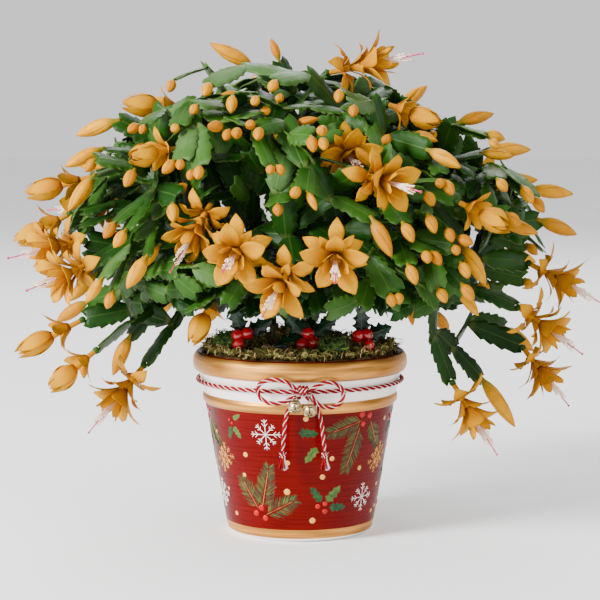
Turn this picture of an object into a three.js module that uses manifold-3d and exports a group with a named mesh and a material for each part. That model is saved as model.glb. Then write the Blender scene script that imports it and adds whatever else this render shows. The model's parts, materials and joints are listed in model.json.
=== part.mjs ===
// A Christmas cactus in a glazed pot, dressed with moss, holly picks, a cord bow and two bells.
// Millimetres, +Z up. The origin is the middle of the pot's flat foot, and -Y is the front.
import * as THREE from 'three';
import { mergeVertices } from 'three/addons/utils/BufferGeometryUtils.js';
import Module from 'manifold-3d';

const wasm = await Module();
wasm.setup();

// ---- driving dimensions -------------------------------------------------------------------------

const GAP = 0.35; // clearance between pieces that touch
const SEED = 5; // of all random draws

// Pot: radius and height of each turn of the outside, from the foot up to the rolled rim.
const POT_SIDES = 28;
const POT_OUTSIDE = [
  [62, 0], [65.5, 2.4], [67.5, 3.6], [69.5, 12], [88, 121.5], [91, 124.5], [91, 129],
  [89.5, 131.5], [94.5, 151], [98.6, 153], [100, 161], [98.2, 167.2], [94.5, 170],
];
const POT_INSIDE = [[91.2, 167], [89.6, 158], [62, 14], [0, 14]];
const SOIL_TOP = 151;
const SOIL_PROFILE = [[0, 14 + GAP], [61.5, 14 + GAP], [87.7, SOIL_TOP], [0, SOIL_TOP]];

// Moss: a ring-shaped relief on the soil, highest near the middle.
const MOSS_SPOKES = 24;
const MOSS_RADII = [0, 26, 46, 64, 79, 87.2];
const MOSS_CROWN = 36;
const MOSS_EDGE = 8;
const MOSS_ROUGH = 5;

// Leafy stems: where each stands in the soil, and the way its main limb arches out.
const STEM_HOLE_RADIUS = 5.4;
const STEM_FOOT_RADIUS = 4.4;
const STEM_FOOT_Z = 126;
const PAD_LENGTH = 42;
const PAD_WIDTH = 23;
const PAD_THICKNESS = 2.2;
const PAD_SINK = 3.4; // how far each pad's root runs into the one it grows from
const SLOT_OFFSET = 0.24; // from the middle of a pad's end to a side pad's root, as a part of its width
const LIMB_PAD_WIDTH = 15;
const LIMB_PAD_THICKNESS = 3.2;
// Half outline of a pad: distance along it, and half width, as parts of its length and half width.
const PAD_HALF_OUTLINE = [[0.34, 0.92], [0.43, 0.76], [0.72, 1], [1, 0.46]];
const PAD_RIDGE = [0.12, 0.62]; // where the two high points of each face are

// Each stem: heading in degrees from +X, then its limb as radius from the pot's axis and height.
const STEMS = [
  { heading: -148, limb: [[27, 196], [66, 246], [106, 286]] },
  { heading: -112, limb: [[25, 200], [56, 250], [96, 282]] },
  { heading: -68, limb: [[25, 198], [60, 246], [100, 278]] },
  { heading: -28, limb: [[27, 196], [68, 248], [112, 284]] },
  { heading: 18, limb: [[26, 200], [64, 258], [104, 304]] },
  { heading: 66, limb: [[26, 198], [60, 248], [100, 286]] },
  { heading: 118, limb: [[25, 196], [62, 246], [104, 282]] },
  { heading: 166, limb: [[26, 200], [64, 256], [106, 300]] },
];

// The plant's rounded outline, used to choose which way pads face and where the back is filled.
const DOME_CENTRE = [0, 0, 230];
const DOME_HALF = [262, 223, 235];

// Flowers of the front, each from its base to its mouth: [across, up, depth] where across and up are
// measured on the upright plane through the pot's axis, as seen by an eye in front of the pot.
const EYE_DISTANCE = 2100;
const EYE_HEIGHT = 430;
const OPEN_BLOOMS = [
  [[22, 426, -60], [76, 437, -75]],
  [[-197, 272, -70], [-241, 262, -92]],
  [[-190, 252, -112], [-228, 236, -135]],
  [[-144, 157, -60], [-176, 118, -76]],
  [[-80, 310, -140], [-104, 270, -166]],
  [[-51, 272, -166], [-63, 255, -208]],
  [[-6, 252, -184], [-23, 222, -220]],
  [[33, 272, -176], [33, 249, -218]],
  [[54, 334, -164], [88, 324, -200]],
  [[34, 360, -100], [48, 346, -136]],
  [[210, 252, -22], [252, 229, -30]],
  [[201, 211, -62], [238, 184, -78]],
  [[206, 174, 2], [233, 140, -4]],
  [[141, 141, -50], [167, 99, -60]],
];
const HALF_OPEN_BLOOMS = [
  [[-101, 395, -30], [-150, 398, -42]],
  [[-111, 358, -118], [-147, 351, -142]],
  [[-188, 332, -28], [-240, 319, -26]],
  [[-211, 298, -18], [-252, 276, -16]],
  [[-200, 199, -40], [-250, 173, -46]],
  [[-188, 171, -92], [-224, 141, -108]],
  [[77, 399, -84], [118, 385, -98]],
  [[144, 309, -140], [183, 289, -166]],
  [[-76, 228, -112], [-95, 187, -124]],
];
const LARGE_BUDS = [
  [[-43, 432, -50], [-82, 456, -56]],
  [[-19, 437, -55], [-26, 459, -50]],
  [[-168, 383, -40], [-208, 371, -30]],
  [[-182, 357, -70], [-219, 342, -76]],
  [[-190, 332, -86], [-217, 300, -96]],
  [[-189, 241, -60], [-217, 216, -66]],
  [[-183, 237, -158], [-201, 214, -168]],
  [[-158, 183, -20], [-177, 146, -14]],
  [[146, 381, -20], [179, 391, -10]],
  [[186, 289, -100], [222, 280, -110]],
  [[221, 291, -20], [258, 279, -10]],
  [[212, 319, -10], [254, 317, 0]],
  [[174, 356, -14], [214, 358, -4]],
  [[167, 353, -56], [198, 351, -64]],
  [[169, 143, -15], [204, 98, -5]],
  [[66, 293, -186], [87, 257, -198]],
  [[150, 268, -148], [175, 231, -160]],
  [[118, 356, -128], [150, 341, -144]],
];
const SMALL_BUDS = [
  [[-54, 407, -60], [-73, 408, -66]],
  [[-6, 379, -128], [17, 386, -134]],
  [[104, 372, -90], [128, 365, -100]],
  [[6, 318, -196], [16, 300, -206]],
  [[147, 226, -106], [168, 202, -114]],
  [[101, 213, -134], [106, 192, -140]],
  [[-130, 268, -150], [-152, 245, -160]],
  [[-165, 293, -116], [-178, 283, -128]],
];

// Flowers of the back, by heading and slope in degrees, on the dome.
const BACK_OPEN_BLOOMS = [[38, 28], [98, 6], [152, 22], [78, 52]];
const BACK_HALF_OPEN_BLOOMS = [[66, 4], [124, 34]];
const BACK_BUDS = [
  [8, 30], [24, 8], [34, 58], [50, -12], [56, 32], [84, 26], [92, -14], [112, 18], [110, 62],
  [128, -8], [146, 46], [166, 34], [168, -6], [14, -14],
];
const BACK_BLOOM_LENGTH = 50;
const BACK_BUD_LENGTH = 38;

// Flowers: radii of the tube, the two whorls of petals and the stamen column.
const PETALS = 5; // in each of the two whorls
const PETAL_THICKNESS = 0.7;
const FOOT_RADIUS = 1.9;
const BACK_ROOT = 0.3; // where each whorl springs from the tube, as a part of the bloom's length
const FRONT_ROOT = 0.62;
const COLUMN_RADIUS = 1.7;
const COLUMN_REACH = 1.55;
const BUD_SIDES = 4;
const BUD_FATNESS = 0.17; // radius as a part of length
const BUD_RADIUS_LIMIT = 6.8;
const BUD_SINK = 3;

// Holly picks in the moss: each berry, and the point and base of each leaf.
const BERRY_RADIUS = 6;
const PICK_WIRE_RADIUS = 0.9;
const PICK_WIRE_Z = 132;
const HOLLY_THICKNESS = 1.6;
const HOLLY_WIDTH = 19;
const HOLLY_HALF_OUTLINE = [[0.24, 0.62], [0.34, 1], [0.46, 0.5], [0.6, 0.92], [0.74, 0.36]];
const PICKS = [
  {
    name: 'left',
    berries: [[-57, -45, 188], [-48, -44, 190], [-56, -48, 180.5]],
    leaves: [[[-53, -36, 188], [-62, -34, 216]], [[-50, -35, 188], [-25, -33, 201]]],
  },
  {
    name: 'middle',
    berries: [[7.3, -50, 190.5], [2, -52, 180.5], [13, -51, 182]],
    leaves: [
      [[5, -41, 187], [-14, -38, 210]], [[9, -41, 187], [34, -38, 203]], [[3, -43, 185], [-24, -48, 178]],
    ],
  },
  {
    name: 'right',
    berries: [[53, -45, 187.5], [61, -44, 188.5], [62, -49, 179]],
    leaves: [[[57, -36, 187], [56, -33, 214]], [[61, -36, 187], [84, -30, 194]]],
  },
];

// Moss tufts: the middle of each on the moss, its size, and how many needles it has.
const TUFTS = [{ name: 'left', spot: [-66, -36], size: 13 }, { name: 'right', spot: [30, -70], size: 12 }];
const TUFT_NEEDLES = 9;
const TUFT_PLUG_RADIUS = 5;

// Cord, bow and bells.
const CORD_RADIUS = 2.15;
const CORD_SIDES = 8;
const CORD_BAND_RADIUS = 95.3; // at the middle of the cord, round the pot's collar
const CORD_BAND_Z = 143;
const CORD_BAND_SIDES = 6;
const CORD_BAND_STEPS = 28;
const KNOT = { middle: [3, -101.6, 145], half: [6, 4.6, 5.4] };
const LOOP_STEPS = 11;
const LEFT_LOOP = [
  [-3.6, -101.8, 146.4], [-13, -103.6, 153.5], [-27, -103, 155], [-37, -98.6, 149], [-36.4, -98, 139.5],
  [-27, -100.4, 133.8], [-14, -102.8, 135], [-4, -103, 141.4],
];
const RIGHT_LOOP = [
  [9.6, -101.6, 146], [19, -103, 151.4], [30, -101.2, 152], [38.2, -97.2, 144.6], [37, -97, 134.6],
  [28.4, -99.2, 129.8], [17.4, -102.4, 132.4], [9.7, -103.2, 141.1],
];
const TAIL_STEPS = 7;
const LEFT_TAIL = [
  [0.2, -101.3, 139], [-7.6, -97.2, 133.6], [-12.8, -95.6, 118], [-14.4, -95, 102], [-15.4, -94.8, 90],
];
const RIGHT_TAIL = [
  [5.4, -101.1, 138.9], [13.4, -97.2, 133.6], [18.8, -95.6, 118], [20.8, -95, 102], [22.4, -94.8, 90],
];
const TAIL_KNOT_RADIUS = 3.6;
const TASSEL = [[2.6, 0], [3.4, -4], [4.6, -12.5]]; // radius and drop below the end knot
const BELL_RADIUS = 6.3;
const BELL_WALL = 0.8;
const BELL_SLOT = 1.4;
const BELL_SIDES = 8;
const BELLS = [
  { name: 'left', middle: [-4.4, -106.3, 131.2], lug: 1.4 },
  { name: 'right', middle: [8.6, -106, 127.8], lug: 4.9 },
];
const PELLET_RADIUS = 1.9;

// ---- vectors and seeded draws -------------------------------------------------------------------

const add = (a, b, k = 1) => [a[0] + b[0] * k, a[1] + b[1] * k, a[2] + b[2] * k];
const sub = (a, b) => add(a, b, -1);
const times = (a, k) => [a[0] * k, a[1] * k, a[2] * k];
const dot = (a, b) => a[0] * b[0] + a[1] * b[1] + a[2] * b[2];
const cross = (a, b) => [
  a[1] * b[2] - a[2] * b[1],
  a[2] * b[0] - a[0] * b[2],
  a[0] * b[1] - a[1] * b[0],
];
const size = (a) => Math.sqrt(dot(a, a));
const unit = (a) => times(a, 1 / size(a));
const mix = (a, b, t) => add(times(a, 1 - t), b, t);
const radians = (degrees) => (degrees * Math.PI) / 180;
const turn = (v, axis, angle) => add(
  add(times(v, Math.cos(angle)), cross(axis, v), Math.sin(angle)),
  axis,
  dot(axis, v) * (1 - Math.cos(angle)),
);

// A repeatable draw between -1 and 1 for each whole number.
function draw(index) {
  const scrambled = Math.sin((index + SEED) * 12.9898) * 43758.5453;
  return (scrambled - Math.floor(scrambled)) * 2 - 1;
}

// The part of `hint` that is square to `axis`.
function squareTo(axis, hint) {
  const flat = add(hint, axis, -dot(hint, axis));
  return size(flat) > 0.05 * size(hint) ? unit(flat) : squareTo(axis, [0.3, 0.5, 1]);
}

// ---- solids -------------------------------------------------------------------------------------

function fromGeometry(geometry) {
  geometry.deleteAttribute('normal');
  geometry.deleteAttribute('uv');
  const merged = mergeVertices(geometry, 1e-4);
  return new wasm.Manifold(new wasm.Mesh({
    numProp: 3,
    vertProperties: new Float32Array(merged.attributes.position.array),
    triVerts: new Uint32Array(merged.index.array),
  }));
}

function toGeometry(solid) {
  const mesh = solid.getMesh();
  const geometry = new THREE.BufferGeometry();
  geometry.setAttribute('position', new THREE.BufferAttribute(new Float32Array(mesh.vertProperties), 3));
  geometry.setIndex(new THREE.BufferAttribute(new Uint32Array(mesh.triVerts), 1));
  return geometry;
}

function fuse(solids) {
  return solids.reduce((whole, solid) => whole.add(solid));
}

// A solid through rings of points. The first and the last ring may be a single point.
function loft(rings) {
  const points = rings.flat();
  const starts = rings.map((_, k) => rings.slice(0, k).reduce((sum, ring) => sum + ring.length, 0));
  const faces = [];
  const cap = (k, flip) => {
    for (let i = 1; i + 1 < rings[k].length; i += 1) {
      const face = [starts[k], starts[k] + i, starts[k] + i + 1];
      faces.push(flip ? face.reverse() : face);
    }
  };
  cap(0, true);
  cap(rings.length - 1, false);
  for (let k = 0; k + 1 < rings.length; k += 1) {
    const low = rings[k].length;
    const high = rings[k + 1].length;
    const sides = Math.max(low, high);
    for (let i = 0; i < sides; i += 1) {
      const next = (i + 1) % sides;
      const a = starts[k] + (low === 1 ? 0 : i);
      const b = starts[k] + (low === 1 ? 0 : next);
      const c = starts[k + 1] + (high === 1 ? 0 : next);
      const d = starts[k + 1] + (high === 1 ? 0 : i);
      if (low > 1) faces.push([a, b, c]);
      if (high > 1) faces.push([a, c, d]);
    }
  }
  const volume = faces.reduce((sum, [a, b, c]) => sum + dot(points[a], cross(points[b], points[c])), 0);
  const outward = volume < 0 ? faces.map((face) => [face[0], face[2], face[1]]) : faces;
  return new wasm.Manifold(new wasm.Mesh({
    numProp: 3,
    vertProperties: new Float32Array(points.flat()),
    triVerts: new Uint32Array(outward.flat()),
  }));
}

// A closed solid from faces of three points each, all wound the same way.
function closed(faces) {
  const volume = faces.reduce((sum, [a, b, c]) => sum + dot(a, cross(b, c)), 0);
  const outward = volume < 0 ? faces.map(([a, b, c]) => [a, c, b]) : faces;
  const geometry = new THREE.BufferGeometry();
  geometry.setAttribute('position', new THREE.Float32BufferAttribute(outward.flat(2), 3));
  return fromGeometry(geometry);
}

// A ring of points round `centre`, square to `axis`.
function ring(centre, axis, radius, sides, hint = [0.2, 0.1, 1]) {
  const first = squareTo(axis, hint);
  return Array.from({ length: sides }, (_, i) => add(centre, turn(first, axis, (2 * Math.PI * i) / sides), radius));
}

// A round bar through `stops`, each a point and a radius. A radius of 0 ends it in a point.
function bar(stops, sides, hint) {
  return loft(stops.map(([point, radius], k) => {
    if (radius === 0) return [point];
    const before = stops[Math.max(k - 1, 0)][0];
    const after = stops[Math.min(k + 1, stops.length - 1)][0];
    return ring(point, unit(sub(after, before)), radius, sides, hint);
  }));
}

// A turned solid from a profile of [radius, height] that starts and ends on the axis, or closes.
function turned(profile, sides) {
  return fromGeometry(new THREE.LatheGeometry(profile.map(([r, z]) => new THREE.Vector2(r, z)), sides)
    .rotateX(Math.PI / 2));
}

function ball(centre, radius, sides = 6, bands = 4) {
  const profile = Array.from({ length: bands + 1 }, (_, k) => {
    const angle = (Math.PI * k) / bands - Math.PI / 2;
    return [k === 0 || k === bands ? 0 : radius * Math.cos(angle), radius * Math.sin(angle)];
  });
  return turned(profile, sides).translate(centre);
}

// ---- growth -------------------------------------------------------------------------------------

// Where a point seen at (across, up) on the upright plane through the axis lies at a given depth.
function place([across, up, depth]) {
  const k = (EYE_DISTANCE + depth) / EYE_DISTANCE;
  return [across * k, depth, EYE_HEIGHT + (up - EYE_HEIGHT) * k];
}

// A flower on the back of the dome, which leans out and a little down.
function placeOnBack([heading, slope], length) {
  const [turnAngle, rise] = [radians(heading), radians(slope)];
  const way = [Math.cos(turnAngle) * Math.cos(rise), Math.sin(turnAngle) * Math.cos(rise), Math.sin(rise)];
  const shrink = slope < 0 ? 0.86 : 0.9;
  const base = DOME_CENTRE.map((c, i) => c + way[i] * (DOME_HALF[i] * shrink - length * 0.5));
  return [base, add(base, unit(add(way, [0, 0, -0.45])), length)];
}

function listFlowers() {
  const front = (kind, list) => list.map((ends) => ({ kind, ends: ends.map(place) }));
  const back = (kind, list, length) => list.map((spot) => ({ kind, ends: placeOnBack(spot, length) }));
  return [
    ...front('open', OPEN_BLOOMS),
    ...back('open', BACK_OPEN_BLOOMS, BACK_BLOOM_LENGTH),
    ...front('half', HALF_OPEN_BLOOMS),
    ...back('half', BACK_HALF_OPEN_BLOOMS, BACK_BLOOM_LENGTH),
    ...front('bud', LARGE_BUDS),
    ...back('bud', BACK_BUDS, BACK_BUD_LENGTH),
    ...front('bud', SMALL_BUDS),
  ].map(({ kind, ends: [base, mouth] }, index) => {
    const axis = unit(sub(mouth, base));
    const length = size(sub(mouth, base));
    const owner = `${kind === 'bud' ? 'bud' : 'bloom'}_${index + 1}`;
    return { kind, index, owner, base, axis, length, side: squareTo(axis, [0, 0, 1]) };
  });
}

// A box round a piece: its middle, three square directions and half its size along each.
function boxAlong(start, end, across, width, thickness, owner) {
  const axis = unit(sub(end, start));
  return {
    owner,
    middle: mix(start, end, 0.5),
    ways: [axis, across, cross(axis, across)],
    half: [size(sub(end, start)) / 2, width / 2, thickness / 2],
  };
}

const CLEARANCE = 0.9;

// True where two boxes are clear of each other along some direction.
function clear(p, q) {
  const between = sub(q.middle, p.middle);
  if (size(between) > size(p.half) + size(q.half)) return true;
  const tests = [...p.ways, ...q.ways];
  for (const a of p.ways) for (const b of q.ways) tests.push(cross(a, b));
  return tests.some((way) => {
    const length = size(way);
    if (length < 1e-6) return false;
    const reach = (box) => box.ways.reduce((sum, w, i) => sum + Math.abs(dot(w, way)) * box.half[i], 0);
    return Math.abs(dot(between, way)) > reach(p) + reach(q);
  });
}

// The petals of a flower, back whorl first: the middle of the belly, the tip and the full width.
const WHORLS = {
  open: [
    { root: BACK_ROOT, belly: [0.4, 15], tip: [0.24, 27], width: 9.5 },
    { root: FRONT_ROOT, belly: [0.9, 15.5], tip: [1.02, 29], width: 12 },
  ],
  half: [
    { root: BACK_ROOT, belly: [0.48, 10.5], tip: [0.6, 21], width: 8 },
    { root: FRONT_ROOT, belly: [0.86, 9], tip: [1.12, 5], width: 9.5 },
  ],
};

function listPetals({ kind, index, base, axis, length, side }) {
  return WHORLS[kind].flatMap((whorl, w) => Array.from({ length: PETALS }, (_, k) => {
    const seed = index * 31 + w * 11 + k;
    const angle = (2 * Math.PI * (k + 0.1 * draw(seed))) / PETALS;
    const out = turn(side, axis, angle);
    const at = (along, away) => add(add(base, axis, along * length), out, away);
    const lean = 1 + 0.12 * draw(seed + 500);
    return {
      root: at(whorl.root, 3),
      belly: at(whorl.belly[0], whorl.belly[1] * lean),
      tip: at(whorl.tip[0] + 0.05 * draw(seed + 900), whorl.tip[1] * lean),
      across: cross(axis, out),
      width: whorl.width,
    };
  }));
}

function flowerBoxes(flower) {
  const { kind, base, axis, length, side } = flower;
  const { owner } = flower;
  if (kind === 'bud') {
    const thick = 2 * Math.min(BUD_FATNESS * length, BUD_RADIUS_LIMIT) + CLEARANCE;
    return [boxAlong(add(base, axis, 1), add(base, axis, length), side, thick, thick, owner)];
  }
  const tube = boxAlong(base, add(base, axis, length), side, 10, 10, owner);
  const petals = listPetals(flower).flatMap(({ root, belly, tip, across, width }) => [
    boxAlong(root, belly, across, width, 3, owner),
    boxAlong(belly, tip, across, width, 3, owner),
  ]);
  return [tube, ...petals];
}

const LEAST_LEAD = 0.4; // how far a flower has to carry on the way of its last pad, as a cosine
const DIRECT_REACH = 1.35; // the longest way that one pad covers, in pad lengths
const LEAST_SPAN = 0.7;
const WAY_STEPS = 16;
const PAD_SHRINKS = [1, 0.74, 0.5, 0.36];
const PAD_ROLLS = [0, 24, -24, 48, -48, 72, -72, 90];
const JOINT_SHIFTS = [[0, 0], [6, 0], [-6, 0], [0, 8], [0, -8], [10, 8], [10, -8], [-11, 6], [-11, -6]];

// Chooses a pad from `start` to `end` that is clear of all boxes but its own parent and brothers.
function fitPad(start, end, width, thickness, seed, joint, boxes) {
  const axis = unit(sub(end, start));
  const facing = squareTo(axis, sub(mix(start, end, 0.5), DOME_CENTRE).map((d, i) => d / DOME_HALF[i]));
  for (const roll of PAD_ROLLS) {
    const normal = turn(facing, axis, radians(roll + 16 * draw(seed)));
    const across = cross(axis, normal);
    const box = boxAlong(start, end, across, width + CLEARANCE, thickness + CLEARANCE, joint.stem);
    box.parent = joint.box;
    const free = (other) => other === joint.box || (joint.box && other.parent === joint.box) || clear(box, other);
    if (boxes.every(free)) return { start, end, width, thickness, normal, across, box, stem: joint.stem };
  }
  return null;
}

// Where the next pad is rooted in a joint: on the side that it leads to, if that is free.
function takeSlot(joint, way) {
  const wanted = Math.sign(dot(way, joint.across));
  const slot = joint.slots.includes(wanted) ? wanted : joint.slots[0];
  joint.slots = joint.slots.filter((other) => other !== slot);
  return add(add(joint.point, joint.across, slot * SLOT_OFFSET * joint.width), joint.way, -PAD_SINK);
}

// Adds a fitted pad to the plant and returns the joint at its end.
function addPad(plant, pad, slots) {
  plant.pads.push(pad);
  plant.boxes.push(pad.box);
  const { end: point, stem, width, across, box } = pad;
  const joint = { point, way: unit(sub(point, pad.start)), stem, width, across, box, slots };
  plant.joints.push(joint);
  return joint;
}

// The ends that a pad may take, best first: at each width, on its aim or shifted out or to a side.
function listEnds(start, aim, shifts) {
  const outward = unit(sub(aim, DOME_CENTRE));
  const sideways = unit(cross(outward, unit(sub(aim, start))));
  return PAD_SHRINKS.flatMap((shrink) => shifts.map(([out, over]) => (
    { shrink, end: add(add(aim, outward, out), sideways, over) }
  )));
}

// How a chain gets from a joint to a flower: in one pad, or by a bend to where its last pad starts.
function planWay(joint, flower) {
  const straight = sub(flower.base, joint.point);
  const reach = size(straight);
  if (reach < DIRECT_REACH * PAD_LENGTH && dot(unit(straight), flower.axis) > LEAST_LEAD) {
    return { joints: [flower.base], length: reach };
  }
  const arrive = unit(add(flower.axis, unit(straight), 0.8));
  const eve = add(flower.base, arrive, -PAD_LENGTH);
  const span = size(sub(eve, joint.point));
  const lead = times(unit(add(joint.way, unit(straight), 0.9)), span * 0.9);
  const along = (t) => {
    const ends = add(times(joint.point, 2 * t ** 3 - 3 * t ** 2 + 1), eve, 3 * t ** 2 - 2 * t ** 3);
    return add(add(ends, lead, t ** 3 - 2 * t ** 2 + t), arrive, (t ** 3 - t ** 2) * span * 0.8);
  };
  const stops = Array.from({ length: WAY_STEPS + 1 }, (_, k) => along(k / WAY_STEPS));
  const travelled = [0];
  for (let k = 0; k < WAY_STEPS; k += 1) travelled.push(travelled[k] + size(sub(stops[k + 1], stops[k])));
  const travel = travelled[WAY_STEPS];
  const count = Math.max(1, Math.round(travel / PAD_LENGTH));
  const joints = Array.from({ length: count }, (_, k) => {
    const goal = (travel * (k + 1)) / count;
    const step = Math.max(0, Math.min(WAY_STEPS - 1, travelled.findIndex((length) => length >= goal) - 1));
    return mix(stops[step], stops[step + 1], (goal - travelled[step]) / (travelled[step + 1] - travelled[step]));
  });
  return { joints: [...joints, flower.base], length: travel + PAD_LENGTH, close: span < LEAST_SPAN * PAD_LENGTH };
}

// Grows a chain of pads from a joint to a flower.
function growChain(joint, flower, plant) {
  const { joints } = planWay(joint, flower);
  let from = joint;
  joints.forEach((aim, k) => {
    const last = k === joints.length - 1;
    const seed = plant.pads.length * 7 + 3;
    const start = k === 0 ? takeSlot(from, sub(flower.base, from.point)) : add(from.point, from.way, -PAD_SINK);
    const others = plant.boxes.filter(({ owner }) => !last || owner !== flower.owner);
    let pad = null;
    for (const { end, shrink } of listEnds(start, aim, last ? [[0, 0]] : JOINT_SHIFTS)) {
      const width = PAD_WIDTH * shrink * (1 + 0.1 * draw(seed + 1));
      pad = fitPad(start, end, width, PAD_THICKNESS, seed, from, others);
      if (pad) break;
    }
    if (!pad) {
      plant.blocked += 1;
      const strangers = others.filter(({ owner }) => owner !== from.stem);
      pad = fitPad(start, aim, PAD_WIDTH * 0.5, PAD_THICKNESS, seed, from, strangers)
        ?? fitPad(start, aim, PAD_WIDTH * 0.4, PAD_THICKNESS, seed, from, []);
    }
    if (last && flower.kind !== 'bud') pad.trim = flower.axis;
    from = addPad(plant, pad, last ? [] : [1, -1]);
  });
}

function growStems(plant) {
  STEMS.forEach(({ heading, limb }, k) => {
    const stem = `leafy_stem_${k + 1}`;
    const spoke = [Math.cos(radians(heading)), Math.sin(radians(heading)), 0];
    const points = limb.map(([radius, height]) => add(times(spoke, radius), [0, 0, height]));
    plant.feet.push({ stem, foot: add(times(spoke, limb[0][0]), [0, 0, STEM_FOOT_Z]), head: points[0] });
    let from = { point: points[0], way: [0, 0, 1], stem };
    for (let j = 1; j < points.length; j += 1) {
      for (const end of [add(mix(points[j - 1], points[j], 0.5), [0, 0, 3]), points[j]]) {
        const seed = plant.pads.length * 7 + 3;
        const start = add(from.point, from.way, -PAD_SINK);
        const pad = fitPad(start, end, LIMB_PAD_WIDTH, LIMB_PAD_THICKNESS, seed, from, plant.boxes);
        from = addPad(plant, pad, [1, -1]);
      }
    }
    from.slots = [1, -1, 0];
  });
}

// The joint that a flower's chain best grows from: near, leading its way, and not yet crowded.
function chooseJoint(plant, flower) {
  let best = null;
  for (const joint of plant.joints.filter(({ slots }) => slots.length > 0)) {
    const straight = sub(flower.base, joint.point);
    const turnBack = Math.max(0, 0.35 - dot(unit(straight), joint.way));
    const climb = Math.max(0, flower.base[2] - joint.point[2]);
    const uphill = flower.base[2] < DOME_CENTRE[2] ? climb : 0;
    const crowd = plant.pads.filter(({ stem }) => stem === joint.stem).length;
    const { length, close } = planWay(joint, flower);
    const cost = length + 60 * turnBack + 1.5 * uphill + 14 * (2 - joint.slots.length) + 0.4 * crowd;
    if (!close && size(straight) > LEAST_SPAN * PAD_LENGTH && (!best || cost < best.cost)) best = { cost, joint };
  }
  return best.joint;
}

function growPlant() {
  const flowers = listFlowers();
  const plant = { pads: [], boxes: flowers.flatMap(flowerBoxes), joints: [], feet: [], blocked: 0, flowers };
  growStems(plant);
  const crown = add(DOME_CENTRE, [0, 0, 20]);
  const order = [...flowers].sort((a, b) => size(sub(a.base, crown)) - size(sub(b.base, crown)));
  for (const flower of order) {
    const joint = chooseJoint(plant, flower);
    flower.stem = joint.stem;
    growChain(joint, flower, plant);
    if (flower.kind === 'bud') {
      for (const box of plant.boxes) if (box.owner === flower.owner) box.owner = joint.stem;
    }
  }
  return plant;
}

// ---- plant solids -------------------------------------------------------------------------------

function padSolid(pad) {
  const solid = toothedBlade(pad, PAD_HALF_OUTLINE, PAD_RIDGE);
  return pad.trim ? solid.trimByPlane(times(pad.trim, -1), -dot(pad.trim, pad.end)) : solid;
}

function budSolid({ base, axis, length, side }) {
  const radius = Math.min(BUD_FATNESS * length, BUD_RADIUS_LIMIT);
  return bar([
    [add(base, axis, -BUD_SINK), 0], [add(base, axis, 0.3 * length), radius * 0.9],
    [add(base, axis, 0.62 * length), radius], [add(base, axis, length), 0],
  ], BUD_SIDES, side);
}

// One face of a petal: a fan round the high point of its belly, between two corners of the tube.
function petalFace(from, to, { across, width, belly, tip }, lift) {
  const away = cross(unit(sub(tip, belly)), across);
  const middle = add(belly, away, lift * PETAL_THICKNESS);
  const [near, far] = [-1, 1].map((s) => add(belly, across, (s * width) / 2));
  return [[from, near, middle], [near, tip, middle], [tip, far, middle], [far, to, middle], [to, from, middle]];
}

// A bloom is one skin: tube, reflexed back whorl, tube again, front whorl, throat and stamen column.
function bloomSolid(flower) {
  const { kind, base, axis, length, side } = flower;
  const corner = (t, radius) => (k) => add(
    add(base, axis, t),
    turn(side, axis, (2 * Math.PI * (k - 0.5)) / PETALS),
    radius,
  );
  const whorls = listPetals(flower);
  const foot = corner(GAP, FOOT_RADIUS);
  const backLow = corner((BACK_ROOT - 0.04) * length, 2.9);
  const backHigh = corner((BACK_ROOT + 0.04) * length, 3.1);
  const rim = corner(FRONT_ROOT * length, 5);
  const throat = corner((FRONT_ROOT + 0.04) * length, COLUMN_RADIUS);
  const neck = corner(COLUMN_REACH * 0.8 * length, COLUMN_RADIUS * 0.7);
  const [bottom, floor] = [GAP, FRONT_ROOT * length].map((t) => add(base, axis, t));
  const stigma = add(base, axis, COLUMN_REACH * length);
  const faces = [];
  const quad = (a, b, c, d) => faces.push([a, b, c], [a, c, d]);
  for (let k = 0; k < PETALS; k += 1) {
    const [back, front] = [whorls[k], whorls[k + PETALS]];
    faces.push([foot(k + 1), foot(k), bottom]);
    quad(foot(k), foot(k + 1), backLow(k + 1), backLow(k));
    faces.push(...petalFace(backLow(k), backLow(k + 1), back, -1).map((face) => face.reverse()));
    faces.push(...petalFace(backHigh(k), backHigh(k + 1), back, 1));
    const [near, far] = [-1, 1].map((s) => add(back.belly, back.across, (s * back.width) / 2));
    faces.push([backLow(k), near, backHigh(k)], [backLow(k + 1), backHigh(k + 1), far]);
    quad(backHigh(k), backHigh(k + 1), rim(k + 1), rim(k));
    faces.push(...petalFace(rim(k), rim(k + 1), front, -1).map((face) => face.reverse()));
    const inner = petalFace(rim(k), rim(k + 1), front, 1);
    const [, , middle] = inner.pop();
    faces.push(...inner);
    if (kind === 'open') {
      faces.push([rim(k + 1), throat(k + 1), middle], [throat(k + 1), throat(k), middle]);
      faces.push([throat(k), rim(k), middle], [neck(k), neck(k + 1), stigma]);
      quad(throat(k), throat(k + 1), neck(k + 1), neck(k));
    } else {
      faces.push([rim(k + 1), floor, middle], [floor, rim(k), middle]);
    }
  }
  return closed(faces);
}

function stemSolid(stem, plant) {
  const { foot, head } = plant.feet.find((entry) => entry.stem === stem);
  const stalk = bar([[foot, STEM_FOOT_RADIUS], [add(head, [0, 0, 5]), STEM_FOOT_RADIUS * 0.9]], 6);
  const pads = plant.pads.filter((pad) => pad.stem === stem).map(padSolid);
  const buds = plant.flowers.filter((f) => f.kind === 'bud' && f.stem === stem).map(budSolid);
  return fuse([stalk, ...pads, ...buds]);
}

// ---- pot, soil, moss and what is set in them ----------------------------------------------------

function hole([x, y], radius, low, high, sides = 6) {
  return bar([[[x, y, low], radius], [[x, y, high], radius]], sides);
}

function mossHeight(radius, seed) {
  const rise = MOSS_CROWN * (1 - radius / MOSS_RADII.at(-1)) ** 1.1;
  return SOIL_TOP + MOSS_EDGE + rise + MOSS_ROUGH * draw(seed) * (radius > 80 ? 0.3 : 1);
}

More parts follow.
